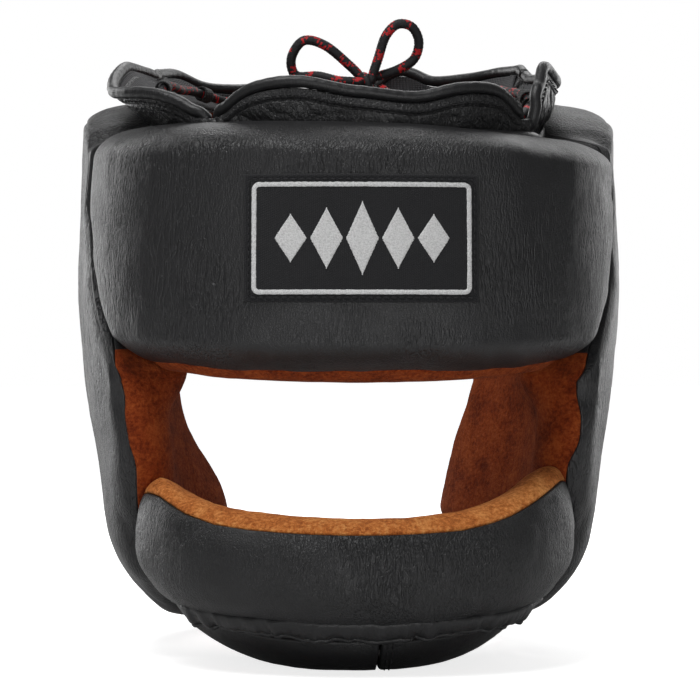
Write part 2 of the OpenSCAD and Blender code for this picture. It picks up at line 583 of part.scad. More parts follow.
// Hook and loop patches between the two chin pieces
function cup_patch(in, nu = 4, nv = 2) =
    [for (i = [0:nu]) let (w = mix(flap_w + 0.09, inner_w - 0.05, i / nu)) [for (j = [0:nv]) cup_at(w, mix(0.42, 0.82, j / nv), in)]];
module chin_hook_patch() {
    color("#202022") between(cup_patch(chin_t + fit + patch_t), cup_patch(chin_t + fit));
}
module chin_loop_patch() {
    color("#303034") between(cup_patch(chin_t + 2 * fit + 2 * patch_t), cup_patch(chin_t + 2 * fit + patch_t));
}

// Nape

wing_z = 6;
wing_top = bar_top - 14;
// The bound lower edge of each wing, which the part stands on
module wing_binding(at) {
    mirror([at < 0 ? 1 : 0, 0, 0]) color("#2c2c2e")
        tube([for (a = [142:2.6:157.6]) shell(a, 3, side_thick(a, wing_z) - 2.5, lean_of(at))], 6.3, 10);
}
strap_z = (wing_z + wing_top) / 2;
strap_root = 158.2;
strap_tip = 222;
// The strap starts at the end of the left wing and passes outside the right wing
function strap_depth(a) = mix(wing_t - 1, -4 * gap - 2 * patch_t, ease((a - 162) / 40));
function strap_at(a, z, in) =
    let (th = 360 - a) shell(th > 180 ? th - 360 : th, z, strap_depth(a) - strap_t + in, lean_of(th < 180 ? 1 : -1));
function strap_grid(in, a0, a1, w, nu = 12, nv = 2) =
    [for (i = [0:nu]) let (a = mix(a0, a1, i / nu)) [for (j = [0:nv])
        strap_at(a, strap_z + w * (j / nv - 0.5), in)]];
module nape_strap() {
    color("#343436") between(strap_grid(0, strap_root, strap_tip, strap_w), strap_grid(strap_t, strap_root, strap_tip, strap_w), true);
}
module nape_hook_patch() {
    color("#202022") between(strap_grid(strap_t + gap, 206, 220, strap_w - 6, 4), strap_grid(strap_t + gap + patch_t, 206, 220, strap_w - 6, 4), true);
}
module nape_loop_patch() {
    color("#303034") between(strap_grid(strap_t + 2 * gap + patch_t, 206, 220, strap_w - 4, 4), strap_grid(strap_t + 2 * gap + 2 * patch_t, 206, 220, strap_w - 4, 4), true);
}

brow_cover();
brow_foam();
brow_lining();
brow_patch();
side_cover(-1);  // side_cover_l
side_foam(-1);  // side_foam_l
side_lining(-1);  // side_lining_l
side_cover(1);  // side_cover_r
side_foam(1);  // side_foam_r
side_lining(1);  // side_lining_r
back_cover();
back_foam();
back_lining();
bar_cover();
bar_lining();
bar_foam();
bar_core();
bar_foam_inner();
bar_skirt();
flap(0);  // crown_front
flap(1);  // crown_l
flap(2);  // crown_r
flap(3);  // crown_back_l
flap(4);  // crown_back_r
flap_lining(0);  // crown_lining_front
flap_lining(1);  // crown_lining_l
flap_lining(2);  // crown_lining_r
flap_lining(3);  // crown_lining_back_l
flap_lining(4);  // crown_lining_back_r
piping(0);  // piping_front
piping(1);  // piping_l
piping(2);  // piping_r
piping(3);  // piping_back_l
piping(4);  // piping_back_r
lace_keepers();
lace_ring();
lace_knot();
lace_loop_l();
lace_loop_r();
lace_tail_l();
lace_tail_r();
lace_tips();
chin_inner();
chin_root_r();
chin_binding_l();
chin_loop_patch();
chin_flap();
chin_binding_r();
chin_hook_patch();
wing_binding(-1);  // wing_binding_l
wing_binding(1);  // wing_binding_r
nape_loop_patch();
nape_strap();
nape_hook_patch();
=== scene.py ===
import math

import bpy
import numpy as np
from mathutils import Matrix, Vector


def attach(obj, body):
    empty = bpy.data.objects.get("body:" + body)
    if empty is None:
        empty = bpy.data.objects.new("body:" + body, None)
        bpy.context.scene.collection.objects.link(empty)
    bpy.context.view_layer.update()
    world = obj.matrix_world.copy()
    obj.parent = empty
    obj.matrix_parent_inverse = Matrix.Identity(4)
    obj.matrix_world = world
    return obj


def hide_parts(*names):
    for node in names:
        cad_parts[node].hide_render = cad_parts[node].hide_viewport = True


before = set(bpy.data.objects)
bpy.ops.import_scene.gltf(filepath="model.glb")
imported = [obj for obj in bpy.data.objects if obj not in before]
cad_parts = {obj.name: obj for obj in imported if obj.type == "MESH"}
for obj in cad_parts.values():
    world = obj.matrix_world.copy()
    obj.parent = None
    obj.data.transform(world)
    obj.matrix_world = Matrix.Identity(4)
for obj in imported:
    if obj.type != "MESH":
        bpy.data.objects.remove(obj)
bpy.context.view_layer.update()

scene = bpy.context.scene


def add(name, data):
    """An object in the scene for a mesh, a light or the camera."""
    obj = bpy.data.objects.new(name, data)
    scene.collection.objects.link(obj)
    return obj


# ---------------------------------------------------------------- camera

AIM = Vector((0.0013, 0.0, 0.129))
AZIMUTH = math.radians(-2.8)
ELEVATION = math.radians(0.0)
DISTANCE = 1.30
PX_PER_MM = 2.297
SENSOR = 36.0
FRAME_PX = 700.0

camera_data = bpy.data.cameras.new("camera")
camera = add("camera", camera_data)
scene.camera = camera
camera_data.sensor_width = SENSOR
camera_data.lens = SENSOR * PX_PER_MM * DISTANCE * 1000 / FRAME_PX
camera_data.clip_end = 20
level = math.cos(ELEVATION)
away = Vector((math.sin(AZIMUTH) * level, -math.cos(AZIMUTH) * level, math.sin(ELEVATION)))
camera.location = AIM + DISTANCE * away
camera.rotation_euler = (-away).to_track_quat("-Z", "Y").to_euler()

# ---------------------------------------------------------------- sizes of the CAD model, in millimetres

HEAD_W, HEAD_D, HEAD_BACK = 158, 198, 7
BROW_H, BROW_T, BROW_ROLL, SEAM_ROLL = 100, 33, 14, 9
SIDE_T, CHEEK_T, JAW_T, WING_T = 37, 22, 9, 12
SIDE_RISE, WING_LEAN, EAR_LEAN_R, EAR_LEAN_L = 22, 12, 20, 16
BACK_T, BACK_HALF = 32, 29.4
BAR_Z, BAR_H, BAR_T, BAR_LEAD, BAR_RISE = 19, 41, 34, 12, 9
WINDOW_H = 58
LIP_H, CUP_D, CHIN_T, FLAP_END_X, CHIN_LAP = 13.5, 54, 4.5, 8, 34
STRAP_W, STRAP_T, PATCH_T = 32, 2.5, 0.9
LEATHER_T, FABRIC_T, GAP = 1.2, 0.8, 0.3
PIPING_D, BINDING_D, LABEL_W, LABEL_H, LACE_D = 5, 4.4, 93, 51, 4
PER_RADIAN = 57.3

BAR_TOP = BAR_Z + BAR_H
BROW_Z0 = BAR_TOP + WINDOW_H
BROW_Z1 = BROW_Z0 + BROW_H
SIDE_TOP = BROW_Z1 + SIDE_RISE
JAW_Z = BAR_Z - 3
HALF_W = HEAD_W / 2 + SIDE_T
BROW_FRONT = HEAD_D / 2 - HEAD_BACK + BROW_T
BAR_FRONT = BROW_FRONT + BAR_LEAD
BACK_REAR = HEAD_D / 2 + HEAD_BACK + BACK_T
MID_Y = (BACK_REAR - BAR_FRONT) / 2
ROUND_N = 2.4
POWER = 2 / ROUND_N
WING_DRAW = 18

SIDE_DRAW = [(0, 60), (JAW_Z - 8, 50), (JAW_Z, 39), (JAW_Z + 8, 29), (JAW_Z + 16, 21.5), (JAW_Z + 24, 16.5),
             (BAR_TOP - 10, 12.5), (BAR_TOP, 10.5), (BAR_TOP + 18, 8), (BROW_Z0 - 21, 5.5), (BROW_Z0, 2.5),
             (BROW_Z0 + BROW_H * 0.32, 0), (BROW_Z0 + BROW_H * 0.72, 0.5), (BROW_Z1, 1.8), (SIDE_TOP - 8, 3),
             (SIDE_TOP, 5), (SIDE_TOP + 10, 9)]
FRONT_DRAW = [(0, 34), (JAW_Z, 18), (BAR_Z + BAR_H * 0.5, 3), (BAR_TOP, 3), (BAR_TOP + 20, 8),
              (BROW_Z0, BAR_LEAD), (BROW_Z1 - 20, BAR_LEAD), (BROW_Z1, BAR_LEAD + 2), (SIDE_TOP, BAR_LEAD + 7)]
REAR_DRAW = [(0, 20), (BAR_TOP - 10, 19), (BROW_Z0, 5), (BROW_Z0 + BROW_H * 0.5, 0), (BROW_Z1, 4), (SIDE_TOP, 10)]

# ---------------------------------------------------------------- numeric helpers


def smooth_table(table, sigma=3.0):
    """A lookup of a table of (place, value), with its corners rounded over sigma."""
    xs = np.arange(table[0][0] - 40, table[-1][0] + 40, 0.5)
    ys = np.interp(xs, [a for a, _ in table], [b for _, b in table])
    k = np.exp(-0.5 * (np.arange(-30, 31) * 0.5 / sigma) ** 2)
    ys = np.convolve(np.pad(ys, 30, mode="edge"), k / k.sum(), mode="valid")
    return lambda z: np.interp(z, xs, ys)


side_draw, front_draw, rear_draw = smooth_table(SIDE_DRAW), smooth_table(FRONT_DRAW), smooth_table(REAR_DRAW)


def mix(a, b, f):
    """The value between a and b at the share f of the way."""
    return a + (b - a) * f


def ease(x):
    """A soft step from 0 to 1 as x goes from 0 to 1."""
    c = np.clip(x, 0, 1)
    return c * c * (3 - 2 * c)


def spow(v, e):
    """A power that keeps the sign."""
    return np.sign(v) * np.abs(v) ** e


def curve(points, u):
    """A smooth curve through the rows of a list, for u from 0 to 1."""
    p = np.asarray(points, float)
    n = len(p) - 1
    u = np.asarray(u, float)
    k = np.clip(np.floor(u * n).astype(int), 0, n - 1)
    f = u * n - k
    if p.ndim > 1:
        f = f[..., None]
    a, b, c, d = p[np.maximum(k - 1, 0)], p[k], p[k + 1], p[np.minimum(k + 2, n)]
    return 0.5 * (2 * b + (c - a) * f + (2 * a - 5 * b + 4 * c - d) * f * f + (3 * b - a - 3 * c + d) * f ** 3)


def crowd(n, k=0.9):
    """n + 1 places from 0 to 1 that crowd towards both ends."""
    u = np.linspace(0, 1, n + 1)
    return u - k * np.sin(2 * math.pi * u) / (2 * math.pi)


def wide(th, z):
    """Half the width of the shell at an angle and a height."""
    d = side_draw(z)
    w = ease((np.abs(th) - 100) / 50)
    return HALF_W - np.where(z < BAR_TOP, mix(d, np.minimum(d, WING_DRAW), w), d)


NO_LEAN = (0, 0, 0)
LEAN_L = (0, EAR_LEAN_L, BROW_Z0 - 13)
LEAN_R = (WING_LEAN, EAR_LEAN_R, BROW_Z0 + 34)


def shell(th, z, depth, lean=NO_LEAN):
    """A point of the pads' shared shell: degrees round the head, height, and depth below the outside.

    The lean holds the wing's lean, the sag beside the ear, and the height where that sag ends.
    """
    th, z, depth = np.broadcast_arrays(np.asarray(th, float), np.asarray(z, float), np.asarray(depth, float))
    c, s = np.cos(np.radians(th)), np.sin(np.radians(th))
    c = np.where(np.abs(c) < 1e-9, 0, c)
    x = (wide(th, z) - depth) * spow(s, POWER)
    reach = np.where(c > 0, BAR_FRONT - front_draw(z), BACK_REAR - rear_draw(z))
    y = -(reach - depth) * spow(c, POWER)
    k = lean[0] * ease((y + 10) / 90) * ease((BROW_Z0 + 4 - z) / 30)
    k = k + lean[1] * ease((y + 30) / 60) * (1 - ease((y - 40) / 45)) * ease((lean[2] - z) / 45) * ease((z - 35) / 25)
    return np.stack([x - k, y - MID_Y, z], -1)


def two_sided(right, th, z, depth):
    """Points of the shell, with the right side's lean where right is true and the left side's elsewhere."""
    return np.where(right[..., None], shell(th, z, depth, LEAN_R), shell(th, z, depth, LEAN_L))


def roll(w, r):
    """A quarter round of radius r: 0 at the edge and 1 from r on."""
    c = 1 - np.clip(w / r, 0, 1)
    return np.sqrt(np.maximum(0, 1 - c * c))


def noise(p, seed=0):
    """Smooth noise from -1 to 1 at points in space, the same on every run."""
    p = np.asarray(p, float)
    i = np.floor(p).astype(np.int64)
    f = p - i
    f = f * f * f * (f * (f * 6 - 15) + 10)

    def corner(dx, dy, dz):
        n = (i[..., 0] + dx) * 73856093 ^ (i[..., 1] + dy) * 19349663 ^ (i[..., 2] + dz) * 83492791 ^ seed * 2654435
        n = (n ^ (n >> 13)) & 0xFFFFFFFF
        n = (n * 1274126177) & 0xFFFFFFFF
        return ((n ^ (n >> 16)) & 0xFFFF) / 32767.5 - 1

    x, y, z = f[..., 0], f[..., 1], f[..., 2]
    return mix(
        mix(mix(corner(0, 0, 0), corner(1, 0, 0), x), mix(corner(0, 1, 0), corner(1, 1, 0), x), y),
        mix(mix(corner(0, 0, 1), corner(1, 0, 1), x), mix(corner(0, 1, 1), corner(1, 1, 1), x), y), z)


def noise_at(x, y, z, seed):
    """The noise at places that are given one coordinate at a time."""
    return noise(np.stack(np.broadcast_arrays(x, y, z), -1), seed)


def fractal(p, octaves=3, seed=0):
    """Noise in several octaves, from -1 to 1."""
    total, size = 0, 0
    for k in range(octaves):
        total = total + noise(np.asarray(p) * 2 ** k, seed + 17 * k) * 0.5 ** k
        size += 0.5 ** k
    return total / size


def creases(p, width=0.12, seed=0):
    """Thin valleys along the zero lines of a noise, from 0 to -1."""
    return -np.exp(-(fractal(p, 2, seed) / width) ** 2)


def unit(v):
    """The vectors at length 1."""
    return v / np.maximum(np.linalg.norm(v, axis=-1, keepdims=True), 1e-9)


def grid_normals(p):
    """Normals of a grid of points, from its two directions."""
    return unit(np.cross(np.gradient(p, axis=1), np.gradient(p, axis=0)))


def runs(path):
    """The length run along a path, from its start."""
    return np.concatenate([[0], np.cumsum(np.linalg.norm(np.diff(path, axis=0), axis=1))])


def arc(p, axis):
    """The length run along an axis of a grid of points, from its start."""
    step = np.linalg.norm(np.diff(p, axis=axis), axis=-1)
    pad = [(0, 0)] * step.ndim
    pad[axis] = (1, 0)
    return np.cumsum(np.pad(step, pad), axis=axis)


def middle_run(p):
    """The length run along the middle line of a grid of points, for every point of the grid."""
    middle = (p.shape[1] - 1) // 2
    return arc(p[:, middle:middle + 1], 0) * np.ones((1, p.shape[1]))


def to_edge(p):
    """How far each point of a grid lies from the nearest of its four edges."""
    u, v = arc(p, 0), arc(p, 1)
    return np.minimum(np.minimum(u, u[-1:] - u), np.minimum(v, v[:, -1:] - v))


# ---------------------------------------------------------------- mesh helpers


def new_object(name, points, faces, body, nodes, material, face_material=None):
    """A mesh object from points in millimetres; it rides on a body and replaces CAD nodes."""
    points = np.asarray(points, float).reshape(-1, 3) * 0.001
    me = bpy.data.meshes.new(name)
    me.vertices.add(len(points))
    me.vertices.foreach_set("co", points.ravel())
    if isinstance(faces, np.ndarray):
        counts, loops = np.full(len(faces), faces.shape[1]), faces.ravel()
    else:
        counts, loops = np.array([len(f) for f in faces]), np.concatenate(faces)
    me.loops.add(len(loops))
    me.loops.foreach_set("vertex_index", loops.astype(np.int32))
    me.polygons.add(len(counts))
    starts = np.concatenate([[0], np.cumsum(counts)[:-1]])
    me.polygons.foreach_set("loop_start", starts.astype(np.int32))
    me.polygons.foreach_set("loop_total", counts.astype(np.int32))
    me.polygons.foreach_set("use_smooth", np.full(len(counts), True))
    me.update(calc_edges=True)
    me.validate()
    obj = add(name, me)
    for m in material if isinstance(material, list) else [material]:
        me.materials.append(m)
    if face_material is not None:
        me.polygons.foreach_set("material_index", np.asarray(face_material, np.int32))
    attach(obj, body)
    if nodes:
        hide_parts(*nodes)
    return obj


def grid_faces(n, m, start=0, flip=False):
    """The quads of a grid of n by m points."""
    i, j = np.meshgrid(np.arange(n - 1), np.arange(m - 1), indexing="ij")
    a = (i * m + j).ravel() + start
    f = np.stack([a, a + 1, a + m + 1, a + m], 1)
    return f[:, ::-1] if flip else f


def ring_faces(n, sides, closed=False):
    """The quads between n rings of points; closed joins the last ring to the first."""
    i, k = np.meshgrid(np.arange(n if closed else n - 1), np.arange(sides), indexing="ij")
    j, q = (i + 1) % n, (k + 1) % sides
    return np.stack([i * sides + k, j * sides + k, j * sides + q, i * sides + q], -1).reshape(-1, 4)


def closed_faces(n, m, flip=False):
    """Faces of a closed solid between two grids of n by m points."""
    k = n * m
    j, i = np.arange(m - 1), np.arange(n - 1)
    end = (n - 1) * m
    rims = np.vstack([
        np.stack([j + 1, j, k + j, k + j + 1], 1),
        np.stack([end + j, end + j + 1, k + end + j + 1, k + end + j], 1),
        np.stack([i * m, (i + 1) * m, k + (i + 1) * m, k + i * m], 1),
        np.stack([(i + 1) * m + m - 1, i * m + m - 1, k + i * m + m - 1, k + (i + 1) * m + m - 1], 1)])
    f = np.vstack([grid_faces(n, m), grid_faces(n, m, k, True), rims])
    return f[:, ::-1] if flip else f


def slab(name, outer, thick, body, nodes, material, edge=1.0, flip=False, second=None):
    """A sheet of some thickness under a grid of points, with its four edges rounded over.

    second picks, by their place in the grid, the faces that get the second material.
    """
    normal = grid_normals(outer) * (-1 if flip else 1)
    n, m = outer.shape[:2]
    drop = edge * (1 - roll(to_edge(outer), edge))
    top = outer - normal * np.minimum(drop, thick * 0.95)[..., None]
    under = outer - normal * (thick * 0.999)
    faces = closed_faces(n, m, flip)
    paint = None
    if second is not None:
        at = faces[:, 0] % (n * m)
        paint = second(at // m, at % m)
    return new_object(name, np.concatenate([top, under]), faces, body, nodes, material, paint)


def frames(path):
    """Two side directions along a path, with no twist."""
    p = np.asarray(path, float)
    t = unit(np.gradient(p, axis=0))
    side = np.cross(t[0], (0, 0, 1.0) if abs(t[0][2]) < 0.9 else (0, 1.0, 0))
    sides = []
    for k in range(len(p)):
        side = side - np.dot(side, t[k]) * t[k]
        side = side / np.linalg.norm(side)
        sides.append(side)
    a = np.array(sides)
    return a, np.cross(t, a)


def resample(path, step):
    """The same path with points a step apart."""
    p = np.asarray(path, float)
    s = runs(p)
    n = max(3, int(round(s[-1] / step)) + 1)
    t = np.linspace(0, s[-1], n)
    return np.stack([np.interp(t, s, p[:, k]) for k in range(3)], -1)


def tube(name, path, radius, body, nodes, material, sides=16, shape=None, paint=None):
    """A closed tube with blunt ends, cut flat by the floor; shape and paint take the angle and the length run."""
    p = np.asarray(path, float)
    a, b = frames(p)
    run = runs(p)
    ang = np.linspace(0, 2 * math.pi, sides, endpoint=False)
    rad = np.broadcast_to(radius, len(p))[:, None] * np.ones(sides)
    if shape is not None:
        rad = rad * shape(ang[None, :], run[:, None])
    end = np.minimum(run, run[-1] - run)
    rad = rad * (0.35 + 0.65 * roll(end, rad.mean() * 0.7))[:, None]
    out = np.cos(ang)[None, :, None] * a[:, None, :] + np.sin(ang)[None, :, None] * b[:, None, :]
    pts = p[:, None, :] + rad[..., None] * out
    pts[..., 2] = np.maximum(pts[..., 2], 0)
    n = len(p)
    caps = [list(range(sides - 1, -1, -1)), [(n - 1) * sides + k for k in range(sides)]]
    faces = list(ring_faces(n, sides)[:, [0, 3, 2, 1]]) + caps
    index = None
    if paint is not None:
        mid_run = (run[:-1] + run[1:])[:, None] / 2
        mid_ang = (ang + math.pi / sides)[None, :]
        index = np.concatenate([paint(mid_ang, mid_run).reshape(-1).astype(int), [0, 0]])
    return new_object(name, pts, faces, body, nodes, material, index)


def stitches(name, path, outward, body, length, space, radius):
    """A row of stitches along a path, each one a short bead of thread that dips in at both ends."""
    lift = 0.15
    p = resample(path, 0.4)
    nrm = unit(outward)
    if len(nrm) != len(p):
        nrm = resample(nrm, 0.4)
    s = runs(p)
    k_n = np.linspace(0, 1, len(nrm))
    rows, sides = 7, 6
    ang = np.linspace(0, 2 * math.pi, sides, endpoint=False)
    f = np.linspace(-1, 1, rows)
    r = radius * np.sqrt(1 - 0.75 * np.abs(f) ** 3)
    pts, faces = [], []
    for c in range(int(s[-1] / (length + space))):
        a = c * (length + space) + space / 2
        t = np.linspace(a, a + length, rows)
        line = np.stack([np.interp(t, s, p[:, k]) for k in range(3)], -1)
        up = unit(np.stack([np.interp(t / s[-1], k_n, nrm[:, k]) for k in range(3)], -1))
        line = line + up * (lift + radius * (1 - 1.6 * f[:, None] ** 4))
        tan = unit(np.gradient(line, axis=0))
        side = unit(np.cross(tan, up))
        out = np.cos(ang)[None, :, None] * side[:, None] + np.sin(ang)[None, :, None] * np.cross(side, tan)[:, None]
        pts.append((line[:, None] + r[:, None, None] * out).reshape(-1, 3))
        start = c * rows * sides
        faces += list(ring_faces(rows, sides) + start)
        faces.append([start + k for k in range(sides)])
        faces.append([start + (rows - 1) * sides + k for k in range(sides - 1, -1, -1)])
    return new_object(name, np.concatenate(pts), faces, body, (), black_thread)


# ---------------------------------------------------------------- materials


class Nodes:
    """Builds the nodes of a tree in few words."""

    def __init__(self, tree):
        self.tree = tree

    def put(self, socket, value):
        """Links a socket into this one, or sets its value."""
        if isinstance(value, bpy.types.NodeSocket):
            self.tree.links.new(value, socket)
        else:
            socket.default_value = value

    def node(self, kind, inputs=None, **props):
        n = self.tree.nodes.new(kind)
        for k, v in props.items():
            setattr(n, k, v)
        for k, v in (inputs or {}).items():
            self.put(n.inputs[k], v)
        return n

    def math(self, op, a, b=0.5, c=None):
        n = self.node("ShaderNodeMath", {0: a, 1: b}, operation=op)
        if c is not None:
            self.put(n.inputs[2], c)
        return n.outputs[0]


class Shader(Nodes):
    """Builds a material."""

    def __init__(self, name):
        self.material = bpy.data.materials.new(name)
        self.material.use_nodes = True
        super().__init__(self.material.node_tree)
        self.bsdf = self.tree.nodes["Principled BSDF"]

    def place(self, scale):
        """The object's own coordinates, scaled."""
        coord = self.node("ShaderNodeTexCoord")
        return self.node("ShaderNodeMapping", {"Vector": coord.outputs["Object"], "Scale": scale}).outputs[0]

    def noise(self, scale, detail=3.0, rough=0.55, vector=None):
        """Noise on the object's own coordinates, or on another vector."""
        vector = vector if vector is not None else self.place((1, 1, 1))
        ins = {"Vector": vector, "Scale": scale, "Detail": detail, "Roughness": rough}
        return self.node("ShaderNodeTexNoise", ins).outputs[0]

    def cells(self, scale, vector=None, feature="DISTANCE_TO_EDGE"):
        vector = vector if vector is not None else self.place((1, 1, 1))
        n = self.node("ShaderNodeTexVoronoi", {"Vector": vector, "Scale": scale}, feature=feature)
        return n.outputs["Distance"]

    def warped(self, scale, amount):
        """Object coordinates pushed about by a noise, so that a pattern is never regular."""
        base = self.place((1, 1, 1))
        n = self.node("ShaderNodeTexNoise", {"Vector": base, "Scale": scale, "Detail": 2.0})
        less = self.node("ShaderNodeVectorMath", {0: n.outputs["Color"], 1: (0.5, 0.5, 0.5)}, operation="SUBTRACT")
        part = self.node("ShaderNodeVectorMath", {0: less.outputs[0], "Scale": amount}, operation="SCALE")
        return self.node("ShaderNodeVectorMath", {0: base, 1: part.outputs[0]}, operation="ADD").outputs[0]

    def span(self, value, a0, a1, b0, b1):
        """The value's range a0 to a1 spread over b0 to b1, and held there beyond it."""
        return self.node("ShaderNodeMapRange", {0: value, 1: a0, 2: a1, 3: b0, 4: b1}).outputs[0]

    def ramp(self, value, stops):
        n = self.node("ShaderNodeValToRGB", {0: value})
        e = n.color_ramp.elements
        while len(e) < len(stops):
            e.new(0.5)
        for k, (at, colour) in enumerate(stops):
            e[k].position = at
            e[k].color = (*colour, 1)
        return n.outputs[0]

    def bump(self, height, strength, distance, normal=None):
        ins = {"Height": height, "Strength": strength, "Distance": distance}
        if normal is not None:
            ins["Normal"] = normal
        return self.node("ShaderNodeBump", ins).outputs[0]

    def finish(self, **inputs):
        """Sets the named inputs of the surface and gives the material."""
        names = {"color": "Base Color", "rough": "Roughness", "normal": "Normal", "spec": "Specular IOR Level",
                 "sheen": "Sheen Weight", "sheen_rough": "Sheen Roughness", "sheen_tint": "Sheen Tint"}
        for k, v in inputs.items():
            self.put(self.bsdf.inputs[names[k]], v)
        return self.material


def toned(tone, share):
    """A colour made darker or lighter."""
    return tuple(min(1, c * share) for c in tone)


def leather_material(name, tone=(0.016, 0.016, 0.0172), grain=1.0, creased=1.0, rough=0.40, flow=(1.0, 1.0, 0.22)):
    """Fine-grained leather; flow stretches its creases along the way that the leather was pulled."""
    s = Shader(name)
    bent = s.node("ShaderNodeMapping", {"Vector": s.warped(22.0, 0.010), "Scale": flow}).outputs[0]
    ripple = s.math("ABSOLUTE", s.math("SUBTRACT", s.noise(430.0, 2.0, 0.5, bent), 0.5))
    thin = s.math("ABSOLUTE", s.math("SUBTRACT", s.noise(760.0, 2.0, 0.5, bent), 0.5))
    pebble = s.cells(900.0, s.warped(300.0, 0.0016))
    ripple_h = s.span(ripple, 0.0, 0.085, 0.0, 1.0)
    thin_h = s.span(thin, 0.0, 0.10, 0.0, 1.0)
    pebble_h = s.span(pebble, 0.0, 0.2, 0.0, 1.0)
    tight = s.span(s.noise(17.0, 2.0), 0.44, 0.60, 0.0, 1.0)
    ripple_h = s.math("MULTIPLY", ripple_h, tight)
    patches = s.noise(24.0, 2.0, 0.5, s.place((1.0, 1.3, 0.7)))
    thin_h = s.math("MULTIPLY", thin_h, s.span(patches, 0.36, 0.56, 0.25, 1.0))
    wear = s.noise(26.0, 4.0, 0.6)
    n = s.bump(s.noise(1500.0, 2.0), 0.10 * grain, 0.0004)
    n = s.bump(pebble_h, 0.30 * grain, 0.00022, n)
    n = s.bump(thin_h, 0.50 * creased, 0.00034, n)
    n = s.bump(ripple_h, 0.80 * creased, 0.00045, n)
    # The colour is darker in the valleys of the pebble grain, painted shade in its creases; the wear noise adds random
    # tone.
    color = s.ramp(s.math("MULTIPLY_ADD", pebble_h, 0.22, s.math("MULTIPLY", wear, 0.8)),
                   [(0.25, toned(tone, 0.75)), (0.55, tone), (0.9, toned(tone, 1.3))])
    r = s.span(s.math("MULTIPLY_ADD", thin_h, -0.15, wear), 0.0, 0.8, rough + 0.10, rough - 0.05)
    return s.finish(color=color, rough=r, normal=n, spec=0.5)


def suede_material(name, tones, sheen=0.2):
    """Napped leather: tones are its worn, middle and brushed colours."""
    s = Shader(name)
    nap = s.noise(640.0, 4.0, 0.75)
    blot = s.noise(90.0, 4.0, 0.6)
    strokes = s.noise(55.0, 3.0, 0.6, s.place((1.0, 1.0, 2.5)))
    value = s.math("MULTIPLY_ADD", nap, 0.5, s.math("MULTIPLY_ADD", blot, 0.32, s.math("MULTIPLY", strokes, 0.18)))
    worn, middle, brushed = tones
    color = s.ramp(value, [(0.40, worn), (0.50, middle), (0.60, brushed)])
    n = s.bump(nap, 0.9, 0.0016)
    n = s.bump(s.noise(1500.0, 2.0), 0.45, 0.0006, n)
    n = s.bump(blot, 0.35, 0.002, n)
    return s.finish(color=color, rough=s.span(nap, 0.3, 0.7, 1.0, 0.88), normal=n, spec=0.15,
                    sheen=sheen, sheen_rough=0.5, sheen_tint=(1.0, 0.50, 0.22, 1))


def thread_material(name, tone, rough=0.6):
    """Twisted thread, and the plastic of the lace's tips."""
    s = Shader(name)
    ply = s.noise(1800.0, 2.0, 0.6, s.place((1.0, 1.0, 1.0)))
    color = s.ramp(ply, [(0.3, toned(tone, 0.7)), (0.6, tone)])
    return s.finish(color=color, rough=s.span(ply, 0.3, 0.7, rough, rough + 0.15),
                    normal=s.bump(ply, 0.5, 0.0004), spec=0.35)


def woven_material(name, tone, lines, slant=0.0):
    """Cloth with threads across and along, drawn from the object's x and z."""
    s = Shader(name)
    coord = s.node("ShaderNodeTexCoord").outputs["Object"]
    parts = s.node("ShaderNodeSeparateXYZ", {0: coord}).outputs
    x = s.math("MULTIPLY", parts[0], lines[0] * math.pi)
    z = s.math("MULTIPLY_ADD", parts[2], lines[1] * math.pi, s.math("MULTIPLY", x, slant))
    a = s.math("ABSOLUTE", s.math("SINE", x))
    b = s.math("ABSOLUTE", s.math("SINE", z))
    h = s.math("MULTIPLY", a, b)
    fuzz = s.noise(900.0, 3.0)
    # The colour is darker where the threads dip and lighter on their crowns: painted shade and painted highlight of the
    # weave; the fuzz noise adds random tone.
    value = s.math("MULTIPLY_ADD", h, 0.6, s.math("MULTIPLY", fuzz, 0.5))
    color = s.ramp(value, [(0.15, toned(tone, 0.55)), (0.6, tone), (0.95, toned(tone, 1.5))])
    n = s.bump(h, 0.6, 0.0003)
    n = s.bump(fuzz, 0.25, 0.0003, n)
    return s.finish(color=color, rough=s.span(fuzz, 0.3, 0.7, 0.67, 0.85), normal=n, spec=0.3, sheen=0.1)


def ribbed_material(name, tone):
    """Fabric with upright ribs that follow the way round the head."""
    s = Shader(name)
    coord = s.node("ShaderNodeTexCoord").outputs["Object"]
    parts = s.node("ShaderNodeSeparateXYZ", {0: coord}).outputs
    around = s.math("ARCTAN2", parts[0], parts[1])
    ribs = s.math("ABSOLUTE", s.math("SINE", s.math("MULTIPLY", around, 210.0)))
    rows = s.math("ABSOLUTE", s.math("SINE", s.math("MULTIPLY", parts[2], 3600.0)))
    h = s.math("MULTIPLY_ADD", rows, 0.35, ribs)
    fuzz = s.noise(700.0, 3.0)
    # The colour is darker between the ribs and rows: painted shade in the fabric's grooves; the fuzz noise adds random
    # tone.
    color = s.ramp(s.math("MULTIPLY_ADD", h, 0.5, s.math("MULTIPLY", fuzz, 0.3)),
                   [(0.1, toned(tone, 0.4)), (0.7, tone)])
    n = s.bump(h, 0.7, 0.0006)
    return s.finish(color=color, rough=s.span(fuzz, 0.3, 0.7, 0.8, 0.95), normal=n, spec=0.25, sheen=0.15)


def fleece_material(name, tone, hooks=False):
    """Hook or loop tape."""
    s = Shader(name)
    h = s.span(s.cells(900.0, None, "F1"), 0.0, 0.5, 1.0, 0.0) if hooks else s.noise(800.0, 5.0, 0.75)
    # The colour is darker where the hooks or loops lie low: painted shade in the tape's hollows.
    color = s.ramp(h, [(0.2, toned(tone, 0.5)), (0.8, tone)])
    return s.finish(color=color, rough=s.span(h, 0.0, 1.0, 0.95, 0.8), normal=s.bump(h, 0.8, 0.0008),
                    spec=0.2, sheen=0.2)


